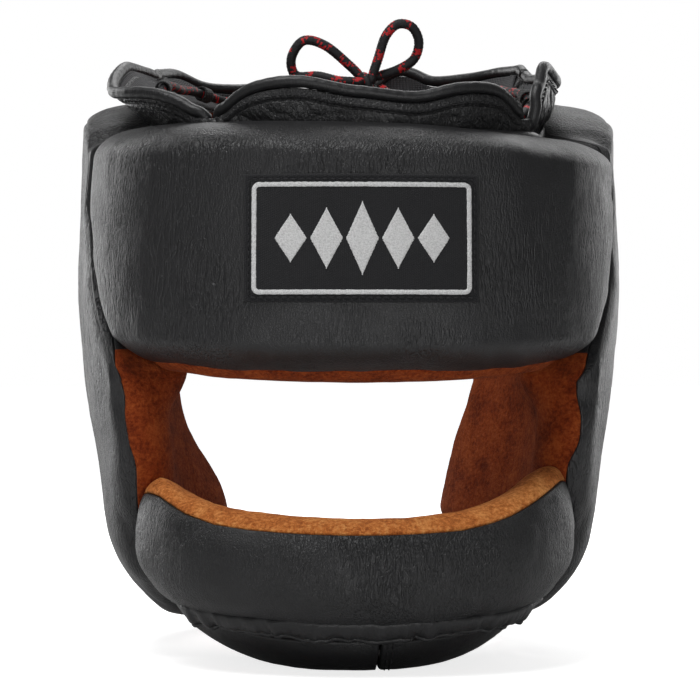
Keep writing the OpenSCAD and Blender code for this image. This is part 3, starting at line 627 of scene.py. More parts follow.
leather = leather_material("leather")
leather_bar = leather_material("leather_bar", (0.015, 0.015, 0.016), 1.0, 1.15, 0.38, (1.5, 1.5, 0.4))
leather_trim = leather_material("leather_trim", (0.013, 0.013, 0.014), 0.7, 0.3, 0.38)
leather_crown = leather_material("leather_crown", (0.014, 0.014, 0.015), 1.0, 1.3, 0.36, (1.0, 1.0, 0.6))
# Two copies of one suede colour: the darker one, on the pads' insides and beside the eye window, is painted shade; the
# brighter one on the bar's crest is painted light.
suede = suede_material("suede", ((0.12, 0.014, 0.003), (0.27, 0.042, 0.008), (0.42, 0.088, 0.018)), 0.1)
suede_crest_painted_light = suede_material("suede_crest_painted_light", ((0.34, 0.080, 0.016), (0.66, 0.205, 0.045), (0.93, 0.42, 0.13)))
black_thread = thread_material("black_thread", (0.022, 0.022, 0.024))
white_thread = thread_material("white_thread", (0.80, 0.80, 0.80), 0.7)
patch_cloth = woven_material("patch_cloth", (0.017, 0.017, 0.019), (1300.0, 1500.0), 0.35)
webbing = woven_material("webbing", (0.022, 0.022, 0.023), (900.0, 900.0))
ribbed = ribbed_material("ribbed_fabric", (0.075, 0.075, 0.080))
lace_black = thread_material("lace_black", (0.018, 0.018, 0.020), 0.55)
lace_red = thread_material("lace_red", (0.62, 0.018, 0.022), 0.55)
tip_plastic = thread_material("tip_plastic", (0.02, 0.02, 0.02), 0.3)
hook_cloth = fleece_material("hook_cloth", (0.02, 0.02, 0.02), True)
loop_cloth = fleece_material("loop_cloth", (0.03, 0.03, 0.032))

# ---------------------------------------------------------------- lace

BODY, FLAP, STRAP = "guard", "chin_flap", "nape_strap"
KNOT = np.array([5, -60, 239.4])
LOOP_L = [(2.5, -62, 242.5), (-2, -62, 247), (-12, -63, 255), (-21, -63, 257), (-26, -61, 250), (-24, -59, 243),
          (-15, -62, 242.5), (-7, -64, 240.5), (0, -64.5, 240)]
LOOP_R = [(7.5, -62, 242.5), (10, -62, 250), (13, -63, 259), (18, -63, 264), (24, -62, 263), (27, -60, 257),
          (25, -58, 250), (18, -58, 245.5), (10.5, -58.5, 243)]
TAIL_L = [(3, -56.2, 237.2), (-3, -52, 232), (-9, -50, 222), (-12, -52, 210), (-13, -54, 198), (-12, -55, 186),
          (-10, -56, 174)]
TAIL_R = [(7.5, -56.2, 237.2), (13.5, -52, 232), (18, -50, 222), (21, -52, 210), (23, -54, 198), (24, -55, 186),
          (24, -56, 176)]
STRANDS, PITCH = 8, 11.0


def braid(ang, run):
    """Height and top strand of a round braid at an angle and a length."""
    a = (ang / (2 * math.pi) + run / PITCH) * STRANDS
    b = (ang / (2 * math.pi) - run / PITCH) * STRANDS
    over = (np.floor(a) + np.floor(b)) % 2 < 1
    f = np.where(over, a, b)
    return np.sin(math.pi * (f - np.floor(f))), np.where(over, np.floor(a) % STRANDS, STRANDS + np.floor(b) % STRANDS)


def braid_shape(ang, run):
    """The braid's share of the lace's radius."""
    return 0.86 + 0.17 * braid(ang, run)[0]


def braid_paint(ang, run):
    """Where a red strand lies on top."""
    top = braid(ang, run)[1]
    shows = np.sin(run * 0.31) + 0.7 * np.sin(run * 0.73 + 1.0) > -0.45
    return ((top <= 1) | (top == STRANDS + 3) | (top == STRANDS + 4)) & shows


def rolled(name, path, radius, nodes, sides=18, body=BODY, shape=None):
    """A piping, welt or binding of leather rolled round a cord."""
    return tube(name, path, radius, body, nodes, leather_trim, sides, shape)


def braided(name, path, diameter, nodes, sides=20):
    """A length of the lace."""
    return tube(name, path, diameter / 2, BODY, nodes, [lace_black, lace_red], sides, braid_shape, braid_paint)


LACE_STEP, WRAP_R, WRAP_W = 0.4, 3.2, 7
turn = [math.radians(-60 + 420 * i / 40) for i in range(41)]
wrap = [KNOT + (-WRAP_W / 2 + WRAP_W * i / 40, WRAP_R * math.cos(a), WRAP_R * math.sin(a)) for i, a in enumerate(turn)]
knot_parts = [braided("lace_knot_wrap", resample(wrap, LACE_STEP), LACE_D - 0.2, ("lace_knot",))]
# Inside the knot each bow loop's two ends run on into the other's
for n, (one, other) in enumerate(((LOOP_L, LOOP_R), (LOOP_R, LOOP_L))):
    a, a_in, b, b_in = (np.array(q, float) for q in (one[-1], one[-2], other[0], other[1]))
    points = [a + unit(a_in - a) * 1.6, a, a + unit(a - a_in) * 2.2, KNOT + np.array([0, 1.0 - 2 * n, 0.8 - 1.6 * n]),
              b + unit(b - b_in) * 2.2, b, b + unit(b_in - b) * 1.6]
    path = resample(curve(points, np.linspace(0, 1, 80)), LACE_STEP)
    knot_parts.append(braided(f"lace_knot_pass_{n}", path, LACE_D - 0.06, ()))
tips = {}
for side, points in (("l", TAIL_L), ("r", TAIL_R)):
    p, q = np.array(points[-1], float), np.array(points[-2], float)
    d = unit(p - q)
    line = resample([p + d * 0.2, p + d * 14.2], 0.7)
    tips[side] = tube(f"lace_tip_{side}", line, (LACE_D + 0.2) / 2, BODY, ("lace_tips",), tip_plastic, 20)
for name, node, points, far, extra in (("lace_bow_l", "lace_loop_l", LOOP_L, "object", knot_parts),
                                       ("lace_bow_r", "lace_loop_r", LOOP_R, "object", ()),
                                       ("lace_end_l", "lace_tail_l", TAIL_L, "connector", [tips["l"]]),
                                       ("lace_end_r", "lace_tail_r", TAIL_R, "connector", [tips["r"]])):
    path = resample(curve(points, np.linspace(0, 1, 120)), LACE_STEP)
    cord = braided(name, path, LACE_D, (node,))

# ---------------------------------------------------------------- brow pad

COVER_T, LINING_T = 1.5, 1.2
BROW_ENDS = [56, 65, 70, 72.5, 72]
FOLD = 3.6
BROW_PUFF = 4.5
LABEL_Z = BROW_Z0 + BROW_H * 0.55


def meet(w):
    """How deep the leather dips at a distance from the fold where two pads meet."""
    return FOLD * (1 - roll(w, 11)) + 2.5 * ease((1.6 - w) / 1.6)


def brow_surface(u, v, inner=False, swell=0.0):
    """The brow pad's outside or its inner side at places along it and up it, and how far those lie from its edges."""
    u, v = np.broadcast_arrays(u, v)
    end = curve(BROW_ENDS, v)
    span = 2 * BROW_FRONT * 1.02 * end / PER_RADIAN
    th = mix(-end, end, u)
    low = 4 * (th / 53) ** 2 * (1 - v)
    upright = roll(v * BROW_H, BROW_ROLL) * roll((1 - v) * BROW_H, BROW_ROLL)
    fold = meet(u * span) + meet((1 - u) * span)
    depth = BROW_T + swell * upright if inner else BROW_T * (1 - upright) + fold * upright
    puff = 0 if inner else BROW_PUFF * ease((55 - th) / 75) * ease((v - 0.72) / 0.24) * ease((BROW_T - depth) / 8)
    p = shell(th, mix(BROW_Z0, BROW_Z1, v) + low + puff, depth)
    return p, u * span, (1 - u) * span, v * BROW_H, (1 - v) * BROW_H


def pull_marks(a, b, from_edge, length, reach, seed):
    """Short gathers that start at a seam: a runs along it, b is the place across it."""
    k = np.exp(-np.maximum(from_edge, 0) / reach) * ease(from_edge / 2.5)
    return k * noise_at(a / length, b / 40, seed * 3.7, seed)


def patch_hold(x, z):
    """How far the leather may move at a place, held flat where the woven patch lies."""
    dx = np.maximum(np.abs(x) - LABEL_W / 2, 0)
    dz = np.maximum(np.abs(z - LABEL_Z) - LABEL_H / 2, 0)
    return ease(np.hypot(dx, dz) / 14)


nu, nv = ((300, 120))
u, v = np.meshgrid(crowd(nu, 0.93), crowd(nv, 0.93), indexing="ij")
p, *edges = brow_surface(u, mix(0.022, 1.0, v))
x, z = p[..., 0], p[..., 2]
hold = patch_hold(x, z) * (p[..., 1] < 0)
edge = np.minimum.reduce(edges)
move = 0.9 * fractal(p / 46, 2, 3) * hold
move = move + 0.55 * pull_marks(x, z, edges[2], 8, 16, 1) + 0.5 * pull_marks(x, z, edges[3], 9, 15, 2)
move = move + 0.5 * pull_marks(z, x, edges[0], 11, 22, 3) + 0.5 * pull_marks(z, x, edges[1], 11, 22, 4)
move = move + 0.5 * creases(p / 30, 0.16, 5) * ease(edge / 6) * np.exp(-edge / 22) * hold
move = move + 0.16 * fractal(p / 7, 2, 6) * ease(edge / 5) * hold
p = p - grid_normals(p) * move[..., None]
brow_leather = slab("brow_leather", p, COVER_T, BODY, ("brow_cover", "brow_foam"), leather, 0.9, True)

nu, nv = ((200, 70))
u = crowd(nu, 0.9)[:, None]
wrap = brow_surface(u, np.linspace(0.024, 0.0, 9)[None, :])[0]
p = np.concatenate([wrap, brow_surface(u, crowd(nv, 0.9)[None, 1:], True, 3.5)[0]], 1)
run = arc(p, 1)
p[..., 2] -= 2.2 * ease(run / 7) * ease((34 - run) / 16)
p = p + grid_normals(p) * (0.35 * fractal(p / 14, 3, 8))[..., None]
slab("brow_suede", p, LINING_T, BODY, ("brow_lining",), suede, 0.7)

# ---------------------------------------------------------------- woven patch on the brow


def on_brow(x, z, out):
    """A point that stands out from the brow pad, at millimetres across and up."""
    x, z = np.broadcast_arrays(np.asarray(x, float), np.asarray(z, float))
    th = np.degrees(np.arcsin(np.clip(np.abs(x) / HALF_W, 0, 1) ** (1 / POWER))) * np.sign(x)
    return shell(th, z, -out)


def round_box(half_w, half_h, r, step):
    """A closed rounded rectangle round the middle of the patch: its places as x and z, and the length run."""
    turns = []
    for cx, cz, a0 in ((1, 1, 0), (-1, 1, 90), (-1, -1, 180), (1, -1, 270)):
        a = np.radians(a0 + np.linspace(0, 90, 9))
        turns.append(np.stack([cx * (half_w - r) + r * np.cos(a), cz * (half_h - r) + r * np.sin(a)], -1))
    loop = np.concatenate(turns + [turns[0][:1]])
    at = runs(loop)
    t = np.linspace(0, at[-1], int(at[-1] / step) + 1)
    return np.stack([np.interp(t, at, loop[:, k]) for k in range(2)], -1), t


PATCH_OUT = 0.4 + PATCH_T
nu, nv = ((150, 84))
x = mix(-LABEL_W / 2, LABEL_W / 2, np.linspace(0, 1, nu + 1))[:, None]
z = LABEL_Z + mix(-LABEL_H / 2, LABEL_H / 2, np.linspace(0, 1, nv + 1))[None, :]
rim = np.minimum(LABEL_W / 2 - np.abs(x), LABEL_H / 2 - np.abs(z - LABEL_Z))
dip = 0.35 * np.exp(-((rim - 2.2) / 0.7) ** 2) + 0.25 * ease((0.8 - rim) / 0.8)
wave = 0.3 * noise_at(x / 9, z / 9, 0, 81) * np.exp(-rim / 6)
p = on_brow(x, z, PATCH_OUT + wave - dip)
badge = slab("brow_badge", p, PATCH_T, BODY, ("brow_patch",), patch_cloth, 0.35, True)

SEAM_IN = 2.2
path = round_box(LABEL_W / 2 - SEAM_IN, LABEL_H / 2 - SEAM_IN, 1.5, 0.5)[0]
x, z = path[:, 0], LABEL_Z + path[:, 1]
line = on_brow(x, z, PATCH_OUT - 0.1)
stitches("badge_seam", line, on_brow(x, z, 5) - line, BODY, 2.2, 0.9, 0.32)

# The white border: a closed band of satin stitch, one ridge for each thread
BORDER_W, THREAD = 1.9, 0.62
path, run = round_box(42.2, 21.2, 2.0, THREAD / 4)
middle = path[:-1]
go = np.roll(middle, -1, 0) - np.roll(middle, 1, 0)
side = np.stack([go[:, 1], -go[:, 0]], -1) / np.linalg.norm(go, axis=1)[:, None]
around = np.radians(np.linspace(0, 360, 12, endpoint=False))
run = run[:-1]
ridge = 0.30 + 0.10 * np.abs(np.sin(math.pi * run / THREAD)) + 0.05 * noise_at(run, 0, 0, 82)
reach = BORDER_W / 2 * (1 + 0.07 * noise_at(run / 0.7, 0, 0, 83))
flat = middle[:, None] + side[:, None] * (reach[:, None] * np.cos(around))[..., None]
p = on_brow(flat[..., 0], LABEL_Z + flat[..., 1], PATCH_OUT + ridge[:, None] * np.sin(around))
new_object("badge_border", p, ring_faces(*p.shape[:2], True), BODY, (), white_thread)

# A plain row of lozenges fills the middle of the patch
LOZENGE_HALF_W = 6.6
for c, (at, half_h) in enumerate([(-28, 9.5), (-14, 12), (0, 14.5), (14, 12), (28, 9.5)]):
    nu, nv = ((190, 16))
    f = np.linspace(-1, 1, nu + 1)[:, None]
    g = np.linspace(-1, 1, nv + 1)[None, :]
    half = np.maximum(LOZENGE_HALF_W * (1 - np.abs(f)), 0.25) * (1 + 0.03 * noise_at(f * 40 + at, 0, 0, 84))
    thread = 0.12 * np.abs(np.sin(math.pi * f * half_h / THREAD)) + 0.22
    lift = thread * np.sqrt(np.maximum(0, 1 - g ** 4)) + 0 * half
    p = on_brow(at + half * g, LABEL_Z + f * half_h, PATCH_OUT - 0.02 + lift)
    slab(f"badge_lozenge_{c}", p, 0.3, BODY, (), white_thread, 0.05)

# ---------------------------------------------------------------- side pads

SEAM_Z = smooth_table([(0, BROW_Z1), (66, BROW_Z1), (73, BROW_Z1 + 1), (80, BROW_Z1 + SIDE_RISE * 0.41),
                       (88, BROW_Z1 + SIDE_RISE * 0.8), (100, SIDE_TOP), (150, SIDE_TOP - 2), (180, SIDE_TOP - 4)], 2.0)


def seam_z(th):
    """The height of the pads' top seam at an angle."""
    return SEAM_Z(np.abs(th))


# Rows across a side pad from the top down: angle and height of its rear edge, then of its front edge
SIDE_ROWS = np.array([
    (150.4, BROW_Z0 + 1, 150.4, seam_z(150)), (134, BROW_Z0 + 1, 128, seam_z(128)),
    (119, BROW_Z0 + 1, 104, seam_z(104)), (109, BROW_Z0, 88, seam_z(88)), (103, BROW_Z0 - 1, 73.6, BROW_Z1 + 0.8),
    (100, BROW_Z0 - 3, 73.9, BROW_Z0 + BROW_H * 0.72), (99, BROW_Z0 - 7, 69, BROW_Z0 + BROW_H * 0.36),
    (99, BROW_Z0 - 12, 58.8, BROW_Z0 + 6), (100, BROW_Z0 - 17, 56.3, BROW_Z0 - 4),
    (101.5, BROW_Z0 - 23, 56, BROW_Z0 - 14), (104, BROW_Z0 - 29, 56, BAR_TOP + 32),
    (106, BROW_Z0 - 35, 56.5, BAR_TOP + 22), (108, BAR_TOP + 20, 60, BAR_TOP + 9),
    (110, BAR_TOP + 16.5, 65.5, BAR_TOP - 8), (113, BAR_TOP + 12, 68, BAR_Z + 9),
    (118, BAR_TOP + 6, 79, JAW_Z + 0.5), (125, BAR_TOP - 1, 98, JAW_Z), (135, BAR_TOP - 9, 119, 11.5),
    (146, BAR_TOP - 13.5, 140, 6.4), (158, BAR_TOP - 14, 158, 6)], float)
LAST_ROW = len(SIDE_ROWS) - 1


def row_width(q):
    """How wide a side pad is in a row, measured on its curve."""
    return np.linalg.norm(shell(q[..., 2], q[..., 3], 10) - shell(q[..., 0], q[..., 1], 10), axis=-1) * 1.03


def side_thick(th, z):
    """How thick a side pad is at an angle and a height."""
    low = np.where(th < 92, mix(CHEEK_T, SIDE_T, ease((th - 58) / 34)), mix(SIDE_T, WING_T, ease((th - 92) / 46)))
    high = np.where(th < 90, mix(BROW_T, SIDE_T, ease((th - 58) / 25)), mix(SIDE_T, BACK_T, ease((th - 115) / 33)))
    t = mix(low, high, ease((z - BROW_Z0 + 18) / 20))
    return mix(min(JAW_T, WING_T), t, ease((z - 16) / 34))


NOSE = 0.45


def side_surface(t, s, lean, inner=False, swell=0.0):
    """A side pad's outside or its inner side, with its width there, its angle and its height.

    Beside the eye window its front is a full round nose.
    """
    t, s = np.broadcast_arrays(t, s)
    q = curve(SIDE_ROWS, t)
    e = 0.002
    width = row_width(q)
    a0, a1, b0, b1 = (curve(SIDE_ROWS, np.array(x)) for x in (e, 0.0, 1 - e, 1.0))
    go0 = np.linalg.norm(shell(a0[0], a0[1], 10) - shell(a1[0], a1[1], 10)) / e
    go1 = np.linalg.norm(shell(b0[0], b0[1], 6) - shell(b1[0], b1[1], 6)) / e
    th, z = mix(q[..., 0], q[..., 2], s), mix(q[..., 1], q[..., 3], s)
    thick = side_thick(th, z)
    r = np.minimum(thick * 0.75, width * 0.45)
    k = t * LAST_ROW
    r1 = mix(SEAM_ROLL, r, ease((k - 7.6) / 1.2))
    beside_brow = ease((k - 3.85) / 0.35) * ease((7.9 - k) / 0.9)
    front = (1 - s) * width
    nose = NOSE * thick * ease((k - 7.0) / 0.9) * ease((14.4 - k) / 1.2)
    rear = roll(s * width, r)
    p = rear * mix(roll(front, r1), 1, beside_brow) * roll((1 - t) * go1, 6)
    fold = meet(front) * beside_brow + meet(t * go0)
    if inner:
        depth = thick + swell * p - nose * rear * (1 - roll(front, 13))
    else:
        depth = thick * (1 - p) + fold * p - nose * rear * (1 - roll(front, r1))
    return shell(th, z, depth, lean), width, th, z


# Reach over the front edge, by ten times the row of the side pad
SUEDE_REACH = {
    "l": smooth_table([(0, 0.05), (66, 0.05), (73, 2), (80, 4.8), (86, 6), (96, 5.8), (103, 5), (110, 3), (120, 2),
                       (134, 0.05), (190, 0.05)]),
    "r": smooth_table([(0, 0.05), (71, 0.05), (76, 1), (82, 2.8), (90, 4), (100, 5.4), (105, 3), (110, 1.2),
                       (120, 0.5), (134, 0.05), (190, 0.05)])}


def suede_reach(t, tag):
    """How far the suede wraps over the pad's front edge, in millimetres: a band beside the eye window."""
    return SUEDE_REACH[tag](t * LAST_ROW * 10)


def mirrored(p, side):
    """Points of the right side, or their mirror images for the left one."""
    return p if side > 0 else p * np.array([-1, 1, 1])


nt, ns = ((420, 120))
for side, tag in ((-1, "l"), (1, "r")):
    lean = LEAN_R if side > 0 else LEAN_L
    t = crowd(nt, 0.5)[:, None]
    rows = t[:, 0] * LAST_ROW
    width = row_width(curve(SIDE_ROWS, t[:, 0]))
    s_rear = (0.25 * ease(rows * 2) / width)[:, None]
    s_front = 1 - (suede_reach(t[:, 0], tag) / width)[:, None]
    s = mix(s_rear, s_front, crowd(ns, 0.9)[None, :])
    p, w, th, z = side_surface(t, s, lean)
    rear_edge, front_edge = s * w, (1 - s) * w
    edge = np.minimum(rear_edge, front_edge)
    along = middle_run(p)
    move = 1.0 * fractal(p / 40, 2, 11 + side)
    move = move + 0.8 * pull_marks(along, rear_edge, rear_edge, 8, 14, 12)
    move = move + 0.8 * pull_marks(along, front_edge, front_edge, 9, 16, 13)
    move = move + 0.7 * creases(p / np.array([26, 26, 60]), 0.14, 14) * ease(edge / 6) * np.exp(-edge / 25)
    move = move + 0.18 * fractal(p / 7, 2, 15)
    move = move * ease(edge / 4) * ease((z - 8) / 12)
    p = p + grid_normals(p) * move[..., None]
    cover = slab(f"side_leather_{tag}", mirrored(p, side), COVER_T, BODY,
                 (f"side_cover_{tag}", f"side_foam_{tag}"), leather, 0.9, side < 0)

    nose = side_surface(t, mix(s_front, 1.0, 1 - (1 - np.linspace(0, 1, 22)) ** 2.0), lean)[0]
    face = side_surface(t, crowd(70, 0.9)[::-1][None, 1:], lean, True, 3.0)[0]
    rim = side_surface(t, mix(0.0, s_rear, np.linspace(0, 1, 7)[None, 1:] ** 2), lean)[0]
    p = np.concatenate([nose, face, rim], 1)
    p = p + grid_normals(p) * (0.45 * fractal(p / 16, 3, 18 + side) + 0.12 * fractal(p / 4, 2, 21))[..., None]
    # Above the eye window the leather goes on over the pad's front edge
    slab(f"side_suede_{tag}", mirrored(p, side), LINING_T, BODY, (f"side_lining_{tag}",), [suede, leather],
         0.7, side < 0, lambda i, j: (rows[i] < 6.8) & (j < 26))

# ---------------------------------------------------------------- back pad


def back_surface(u, v, inner=False, swell=0.0):
    """The back pad, as brow_surface gives the brow pad."""
    u, v = np.broadcast_arrays(u, v)
    z0 = BROW_Z0 + 1
    tall = float(seam_z(180)) - z0
    span = 2 * (BACK_REAR - 8) * BACK_HALF / PER_RADIAN
    th = 180 + mix(-BACK_HALF, BACK_HALF, u)
    z1 = seam_z(np.where(th > 180, 360 - th, th))
    p = roll(v * tall, 20) * roll((1 - v) * tall, 12)
    fold = meet(u * span) + meet((1 - u) * span)
    depth = BACK_T + swell * p if inner else BACK_T * (1 - p) + fold * p
    p = shell(np.where(th > 180, th - 360, th), mix(z0, z1, v), depth)
    return p, u * span, (1 - u) * span, v * tall, (1 - v) * tall


nu, nv = ((170, 120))
u, v = crowd(nu, 0.93)[:, None], crowd(nv, 0.93)[None, :]
p, *edges = back_surface(u, mix(0.016, 1.0, v))
x, z = p[..., 0], p[..., 2]
move = 0.9 * fractal(p / 42, 2, 31)
move = move + 0.6 * pull_marks(x, z, edges[2], 8, 14, 32) + 0.6 * pull_marks(x, z, edges[3], 8, 14, 33)
move = move + 0.7 * pull_marks(z, x, np.minimum(*edges[:2]), 9, 18, 34) + 0.16 * fractal(p / 7, 2, 35)
p = p - grid_normals(p) * (move * ease(np.minimum.reduce(edges) / 4))[..., None]
back_leather = slab("back_leather", p, COVER_T, BODY, ("back_cover", "back_foam"), leather, 0.9, True)
wrap = back_surface(u, np.linspace(0.018, 0.0, 7)[None, :])[0]
p = np.concatenate([wrap, back_surface(u, crowd(60, 0.9)[None, 1:], True, 3.0)[0]], 1)
p = p + grid_normals(p) * (0.4 * fractal(p / 14, 3, 36))[..., None]
slab("back_suede", p, LINING_T, BODY, ("back_lining",), suede, 0.7)

# ---------------------------------------------------------------- face bar

BAR_HALF_W = HALF_W - 12.5 - BAR_T / 2
BAR_HALF_D = BAR_FRONT - BAR_T / 2
BAR_END, BAR_ROUND = 65.3, 50
BAR_SEAM, BAR_UNDER = 46, -92


def bar_mid(th):
    """The middle of the bar at an angle."""
    s, c = np.sin(np.radians(th)), np.cos(np.radians(th))
    x = BAR_HALF_W * spow(s, POWER)
    y = -BAR_HALF_D * c ** POWER
    return np.stack([x, y - MID_Y, BAR_Z + BAR_H / 2 + BAR_RISE * (x / BAR_HALF_W) ** 2], -1)


def bar_out(th):
    """The level direction out of the bar at an angle."""
    v = bar_mid(th + 0.5) - bar_mid(th - 0.5)
    return unit(np.stack([v[..., 1], -v[..., 0], np.zeros_like(v[..., 0])], -1))


def bar_scale(th):
    """The share of its full section that the bar has at an angle; it rounds off at both ends."""
    f = np.clip((np.abs(th) - BAR_ROUND) / (BAR_END - BAR_ROUND), 0, 1)
    return np.maximum(0.004, 1 - 0.996 * f ** 3.2) ** 0.5


LIFT_L = [(0, 2.5), (45, 2.5), (58, 3), (70, 6), (80, 12), (90, 14)]
LIFT_R = [(0, 2.5), (40, 2.5), (52, 4.5), (60, 6.5), (66, 9), (74, 13), (84, 19), (92, 20)]


def bar_lift(x, s):
    """How far the bar's upper half rises into the cheeks, at a place along it and up its section."""
    lift = np.where(x < 0, np.interp(-x, *zip(*LIFT_L)), np.interp(x, *zip(*LIFT_R)))
    return lift * np.clip((s + 0.3) / 1.3, 0, 1) ** 1.3


def bar_surface(th, phi):
    """The bar's surface: an angle round the head, and an angle up from the front of its section."""
    th, phi = np.broadcast_arrays(th, phi)
    m = 2 / 2.3
    c, s = spow(np.cos(np.radians(phi)), m), spow(np.sin(np.radians(phi)), m)
    section = BAR_T / 2 * c[..., None] * bar_out(th) + BAR_H / 2 * s[..., None] * np.array([0, 0, 1])
    p = bar_mid(th) + bar_scale(th)[..., None] * section
    p[..., 2] += bar_lift(p[..., 0], s)
    p[..., 0] *= 1 - 0.045 * ease((np.abs(th) - 38) / 20) * ease(-s / 0.8)
    return p


nu, nv = ((380, 130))
th = mix(-BAR_END, BAR_END, crowd(nu, 0.6))[:, None]
phi = mix(BAR_UNDER, BAR_SEAM, np.linspace(0, 1, nv + 1))[None, :]
p = bar_surface(th, phi)
along = middle_run(p)
down, up = arc(p, 1), arc(p, 1)[:, -1:] - arc(p, 1)
ends = np.minimum(along, along[-1:] - along)
move = 0.9 * fractal(p / 40, 2, 41)
move = move + 0.75 * pull_marks(along, down, down, 6.5, 9, 42) + 0.4 * pull_marks(along, up, up, 7, 8, 43)
move = move + 0.8 * pull_marks(down, along, ends, 7, 12, 44) + 0.16 * fractal(p / 7, 2, 45)
move = move + 0.5 * creases(p / np.array([34, 34, 22]), 0.13, 46) * np.exp(-down / 16) * ease(down / 4)
p = p - grid_normals(p) * (move * ease(np.minimum(up, ends) / 4))[..., None]
bar_leather = slab("bar_leather", p, COVER_T, BODY,
                   ("bar_cover", "bar_foam", "bar_foam_inner", "bar_core"), leather_bar, 0.9, True)
phi = mix(BAR_SEAM + 0.5, 360 + BAR_UNDER - 0.5, np.linspace(0, 1, nv + 1))[None, :]
p = bar_surface(th, phi)
run = arc(p, 1)
move = 0.5 * fractal(p / 18, 3, 47) + 0.12 * fractal(p / 4, 2, 48) + 0.35 * pull_marks(along, run, run, 8, 6, 49)
p = p - grid_normals(p) * (move * ease(np.minimum(run, run[:, -1:] - run) / 2))[..., None]
# The crest takes the brighter copy of the suede colour, painted light.
slab("bar_suede", p, LINING_T, BODY, ("bar_lining",), suede_crest_painted_light, 0.7, True)

# The gathered strip under the bar
STRIP_END = 52
nu, nv = ((420, 18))
th = mix(-STRIP_END, STRIP_END, np.linspace(0, 1, nu + 1))[:, None]
q = np.linspace(0, 1, nv + 1)[None, :]
across = mix(9.5, -5.0, q)
hang = (4.4 * np.sin(math.pi * np.clip(q * 1.15, 0, 1)) ** 0.8) * ease((STRIP_END - np.abs(th)) / 8)
p = bar_surface(th, -np.degrees(np.arccos(np.clip(spow(across / (BAR_T / 2), 2.3 / 2), -1, 1))))
p = p - np.array([0, 0, 1]) * (hang + 0.1)[..., None]
along = middle_run(p)
gather = noise_at(along / 4.6, q * 1.4, 0, 51) + 0.5 * noise_at(along / 2.2, q * 2, 0, 52)
p = p + (bar_out(th) * 0.9 + np.array([0, 0, -0.6])) * (gather * 1.25 * np.sin(math.pi * q) ** 0.7)[..., None]
slab("bar_strip", p, LEATHER_T, BODY, ("bar_skirt",), leather_trim, 0.6)

# The welt that shows under the strip
line = p[np.abs(th[:, 0]) < 47, int(nv * 0.6)]
path = resample(curve(line, np.linspace(0, 1, 700)), 1.0)
rolled("bar_welt", path + np.array([0, 0, -0.5]), 1.15 * (1 + 0.05 * noise(path / 4, 53)), (), 14)

# ---------------------------------------------------------------- crown

# Each flap from its first end to its last: angles, heights of the rim, and how far the rim stands out
FLAPS = {
    "front": ([-35.5, 47.5], [8, 15, 17, 13, 11, 15, 15, 8], [2, 5, 6, 4, 3, 5, 5, 2]),
    "l": ([-103, -43.5], [8, 13, 15, 16, 14, 8], [9, 18, 23, 21, 12, 4]),
    "r": ([55.5, 102], [17, 27, 21, 11, 8, 7], [7, 11, 12, 11, 10, 8]),
    "back_l": ([-174.5, -111], [10, 11, 9, 9, 13, 11], [0, 2, 4, 8, 12, 12]),
    "back_r": ([110, 176.5], [13, 14, 13, 13, 19, 7], [9, 9, 6, 2, 0, 0])}
FLAP_LOW = 0.35


def crown_base(th):
    """The pads' thickness where the crown stands on their top seam."""
    a = np.abs(th)
    return mix(BROW_T, SIDE_T, ease((a - 50) / 20)) + (BACK_T - SIDE_T) * ease((a - 140) / 20)


def flap_surface(key, u, v, inside, soft=1.0):
    """A flap's outside or, further in, its lining; with soft at 0 it has no folds, as in the CAD model."""
    (a0, a1), heights, outs = FLAPS[key]
    u, v = np.broadcast_arrays(u, v)
    th = mix(a0, a1, u)
    th = np.where(th > 180, th - 360, np.where(th < -180, th + 360, th))
    h, o = curve(heights, np.clip(u, 0, 1)), curve(outs, np.clip(u, 0, 1))
    belly = 1.5 * np.sin(math.pi * np.clip(v, 0, 1))
    z = seam_z(th) + FLAP_LOW - 0.75 * ease((50 - np.abs(th)) / 6) + v * h
    wave = 0.9 * soft * noise_at(th / 6.5, v * 0.8, 0, 61) * np.sin(math.pi * np.clip(v * 0.9 + 0.05, 0, 1))
    return shell(th, z, crown_base(th) - 5 - v * o - belly + wave + inside)


# How much of its height the rim keeps at a flap's first and last end, and how its piping ends there:
# it dips into the fold between two flaps, runs on to meet the next piping, or stands upright
ENDS = {"front": ((0.84, "dip"), (0.88, "dip")), "l": ((1, "meet"), (0.84, "dip")), "r": ((1, "stand"), (1, "meet")),
        "back_l": ((0.7, "dip"), (1, "meet")), "back_r": ((1, "meet"), (0.7, "dip"))}
MEETS = {"l": "back_l", "back_l": "l", "r": "back_r", "back_r": "r"}
RIM_WELT = 4.6


def flap_tall(key, u):
    """A flap's height along its slant."""
    return np.hypot(curve(FLAPS[key][1], u), curve(FLAPS[key][2], u))


def rim_keep(key, u):
    """The share of its full height that the rim keeps at a place along the flap."""
    long = runs(flap_surface(key, np.linspace(0, 1, 60), 1.0, 0))[-1]
    (first, _), (last, _) = ENDS[key]
    u = np.clip(u, 0, 1)
    return (1 - (1 - first) * (1 - ease(u * long / 11))) * (1 - (1 - last) * (1 - ease((1 - u) * long / 11)))


def wrinkles(along, rise, seed, wide=4.6):
    """Slanting folds with sharp valleys, as in thin leather that is gathered at a seam."""
    a = along / wide + rise / 9
    n = noise_at(a, rise / 13, seed * 5.3, seed)
    m = noise_at(a * 2.1 + 4, rise / 8, seed * 2.9, seed + 7)
    return -np.exp(-(n / 0.24) ** 2) - 0.5 * np.exp(-(m / 0.25) ** 2)


PIPING_OUT = PIPING_D / 2 + GAP


def piping_ridges(ang, run):
    """Faint rings round a piping, where its leather is turned over."""
    return 1 + 0.035 * np.sin(run * 1.3 + 2 * np.sin(ang)) * (np.cos(ang) ** 2)


